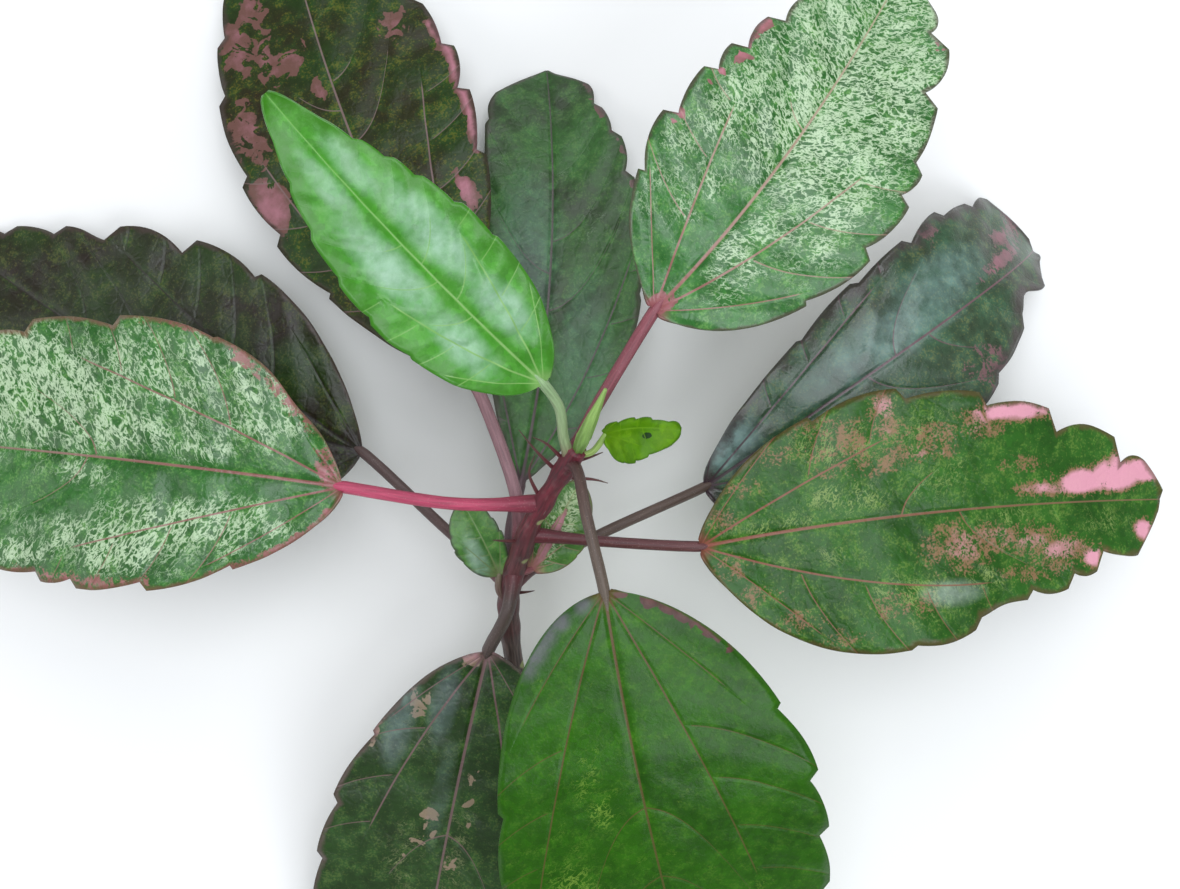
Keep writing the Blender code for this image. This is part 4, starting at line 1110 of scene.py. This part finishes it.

# Front broad leaf.
# The large young leaf in front, clear bright green and hardly marked, broad and smooth,
# with pale veins, a purplish tinge on the left shoulder of its base and a grey sheen painted along the
# right one.
front_broad = Leaf(
    stalk=[(-4.0, -3.4, 56.0), (-2.2, -4.8, 60.5), (-0.5, -13.0, 66.0)],
    midrib=[(2.5, -25.5, 69.0), (8.9, -68.2, 76.0), (27.0, -131.3, 22.0)],
    left=Margin(30.6, 0.39, 1.55, 0.95, (0.33, 0.44, 0.56, 0.68, 0.8, 0.91),
                basal=(0.42, 0.0023, 0.6), first_branch=26.0),
    right=Margin(27.5, 0.46, 1.15, 1.1, (0.42, 0.54, 0.66, 0.77, 0.87, 0.95),
                 basal=(0.47, 0.0011, 0.62), first_branch=26.0),
    tooth_depth=2.2, stalk_radius=1.05, cup=-0.05, wave=0.8, wave_phase=3.0, quilt=0.25,
    vein_girth=0.8,
    cream=[(0.5, 16, 20, 6, 0.8), (0.3, 8, 12, 3, 0.6), (0.75, 5, 20, 4, 0.6),
           (0.6, -16, 12, 4, 0.5)],
)
front_broad.blush = edge_marks(front_broad.left, -1, 0.005, 0.11, 1.6, 0.9)
front_broad.painted_sheen = edge_marks(front_broad.right, 1, 0.01, 0.09, 2.2, 1.4)
front_broad_underside = leaf_underside("young_leaf_underside", "#7fa05c", "#a3b37d")
front_broad_skin = leaf_skin(
    "bright_young_leaf", front_broad, 59.0,
    deep="#1d4a02", mid="#265a02", fresh="#316a04", vein="#5c3f28", vein_far="#47591f",
    margin="#33601a", margin_reach=0.8, blush="#4d322c", rose="#6a4440", cream="#7d9f3c",
    speckle="#6f962e", speckle_share=0.1, painted_sheen="#66616c", gloss=0.33, wax=1.33, vein_relief=0.13,
    net_relief=0.015,
)
front_broad_blade = make_blade(
    "blade_front_broad", front_broad, front_broad_skin, front_broad_underside)
front_broad_stalk = make_stalk("stalk_front_broad", front_broad, "#442428", "#66604f", "#9aaf7d")
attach(front_broad_blade, "root")
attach(front_broad_stalk, "root")
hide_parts("leaf_front_broad")

# Young long leaf.
# A long young leaf high above the others, fresh green and strongly puffed up between its
# veins, so that each quilt catches the sky. A pale bluish-green sheen is also painted in
# bands either side of the midrib, and its darker green rim is painted shade where the edges turn down.
young_long = Leaf(
    stalk=[(-3.5, -2.65, 57.0), (-4.7, 1.2, 61.0), (-5.4, 6.5, 66.0)],
    midrib=[(-8.0, 10.5, 72.0), (-31.4, 31.9, 92.0), (-51.4, 55.6, 94.0)],
    left=Margin(12.5, 0.39, 1.8, 1.5, (0.44, 0.56, 0.68, 0.79, 0.9),
                basal=(0.36, 0.003, 0.55), low_basal=(0.8, 0.008, 0.3),
                first_side_vein=18.0, first_branch=10.0),
    right=Margin(12.0, 0.36, 1.95, 1.65, (0.5, 0.61, 0.69, 0.77, 0.87),
                 basal=(0.36, 0.003, 0.55), low_basal=(0.8, 0.008, 0.3),
                 first_side_vein=22.0, first_branch=10.0),
    tooth_depth=0.8, stalk_radius=0.95, cup=0.16, wave=0.6, quilt=0.7, side_spacing=8.5,
    branch_spacing=7.0, vein_girth=0.7,
    painted_sheen=[(0.24, 4.6, 8, 3.2, 1.35), (0.24, -4.6, 8, 3.2, 1.2), (0.5, 4.8, 11, 3.4, 1.3),
           (0.5, -4.4, 12, 3.2, 1.3), (0.74, 2.6, 8, 2.2, 0.9), (0.74, -2.4, 8, 2.0, 0.9)],
)
young_long_skin = leaf_skin(
    "fresh_puffed_leaf", young_long, 61.0,
    deep="#3b861c", mid="#459026", fresh="#5aa03c", vein="#86b264", vein_far="#62a03e",
    margin="#35760a", margin_reach=2.6, speckle="#86ba6a", speckle_share=0.08, gloss=0.36,
    wax=1.5, vein_relief=0.08, net_relief=0.008, painted_sheen="#a9cdb4",
)
young_long_blade = make_blade(
    "blade_young_long", young_long, young_long_skin, front_broad_underside)
young_long_stalk = make_stalk("stalk_young_long", young_long, "#8a9a70", "#90b683", "#a9c98a")
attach(young_long_blade, "root")
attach(young_long_stalk, "root")
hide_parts("leaf_young_long")

# Newest leaf.
# The newest open leaf beside the bud, small, soft and yellow-green, still half folded.
newest = Leaf(
    stalk=[(-2.9, -1.9, 57.9), (0.4, -1.3, 59.2)],
    midrib=[(2.4, 1.6, 61.5), (7.0, 3.8, 67.0), (16.0, 2.4, 66.0)],
    left=Margin(1.7, 0.45, 1.0, 1.0, (0.45, 0.65, 0.84), first_side_vein=4.0, first_branch=3.0),
    right=Margin(6.0, 0.32, 1.0, 1.0, (0.42, 0.62, 0.82), first_side_vein=5.0, first_branch=3.0),
    tooth_depth=0.5, stalk_radius=0.6, cup=0.1, wave=0.3, quilt=0.12, ruffle=0.08,
    side_spacing=3.2, branch_spacing=3.0, vein_girth=0.4, blush=[(0.6, 1.4, 0.8, 0.5, 1.6)],
)
newest_skin = leaf_skin(
    "newest_yellow_green_leaf", newest, 67.0,
    deep="#447400", mid="#507e00", fresh="#5f8c04", vein="#5f8c0c", vein_far="#5a8604",
    margin="#3d6600", margin_reach=0.5, speckle="#7d9c20", speckle_share=0.1,
    blush="#16330a", rose="#16330a", wax=1.25, vein_relief=0.04, net_relief=0.01,
)
newest_blade = make_blade("blade_newest", newest, newest_skin, front_broad_underside)
newest_stalk = make_stalk("stalk_newest", newest, "#8aa05a", "#94ba5c", "#a9c98a")
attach(newest_blade, "root")
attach(newest_stalk, "root")
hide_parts("leaf_newest")

# Bud.
# Leaves still folded round each other at the stem's tip: pale green, downy, and drawn out
# into a point, with the folds showing as lengthwise pleats.
BUD_PATH = [(-2.2, -1.0, 59.0), (-1.1, 1.2, 62.8), (0.4, 4.6, 66.4), (2.7, 9.6, 70.0)]
BUD_RADII = (0.95, 1.3, 1.0, 0.3)


def bud_girth(share, angle, place):
    radius = float(np.interp(share, np.linspace(0, 1, len(BUD_RADII)), BUD_RADII))
    return radius * (1 + 0.12 * math.cos(5 * angle + 5 * share))


bud_shape = bmesh.new()
add_tube(
    bud_shape, smooth_path(BUD_PATH, 50), bud_girth, 40,
    lambda share, place: mixed("#5f843c", "#86a858", share * 1.4),
)
bmesh.ops.recalc_face_normals(bud_shape, faces=bud_shape.faces)
bud = finished("folded_bud", bud_shape, [leaf_stalk_skin])
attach(bud, "root")
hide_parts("bud")
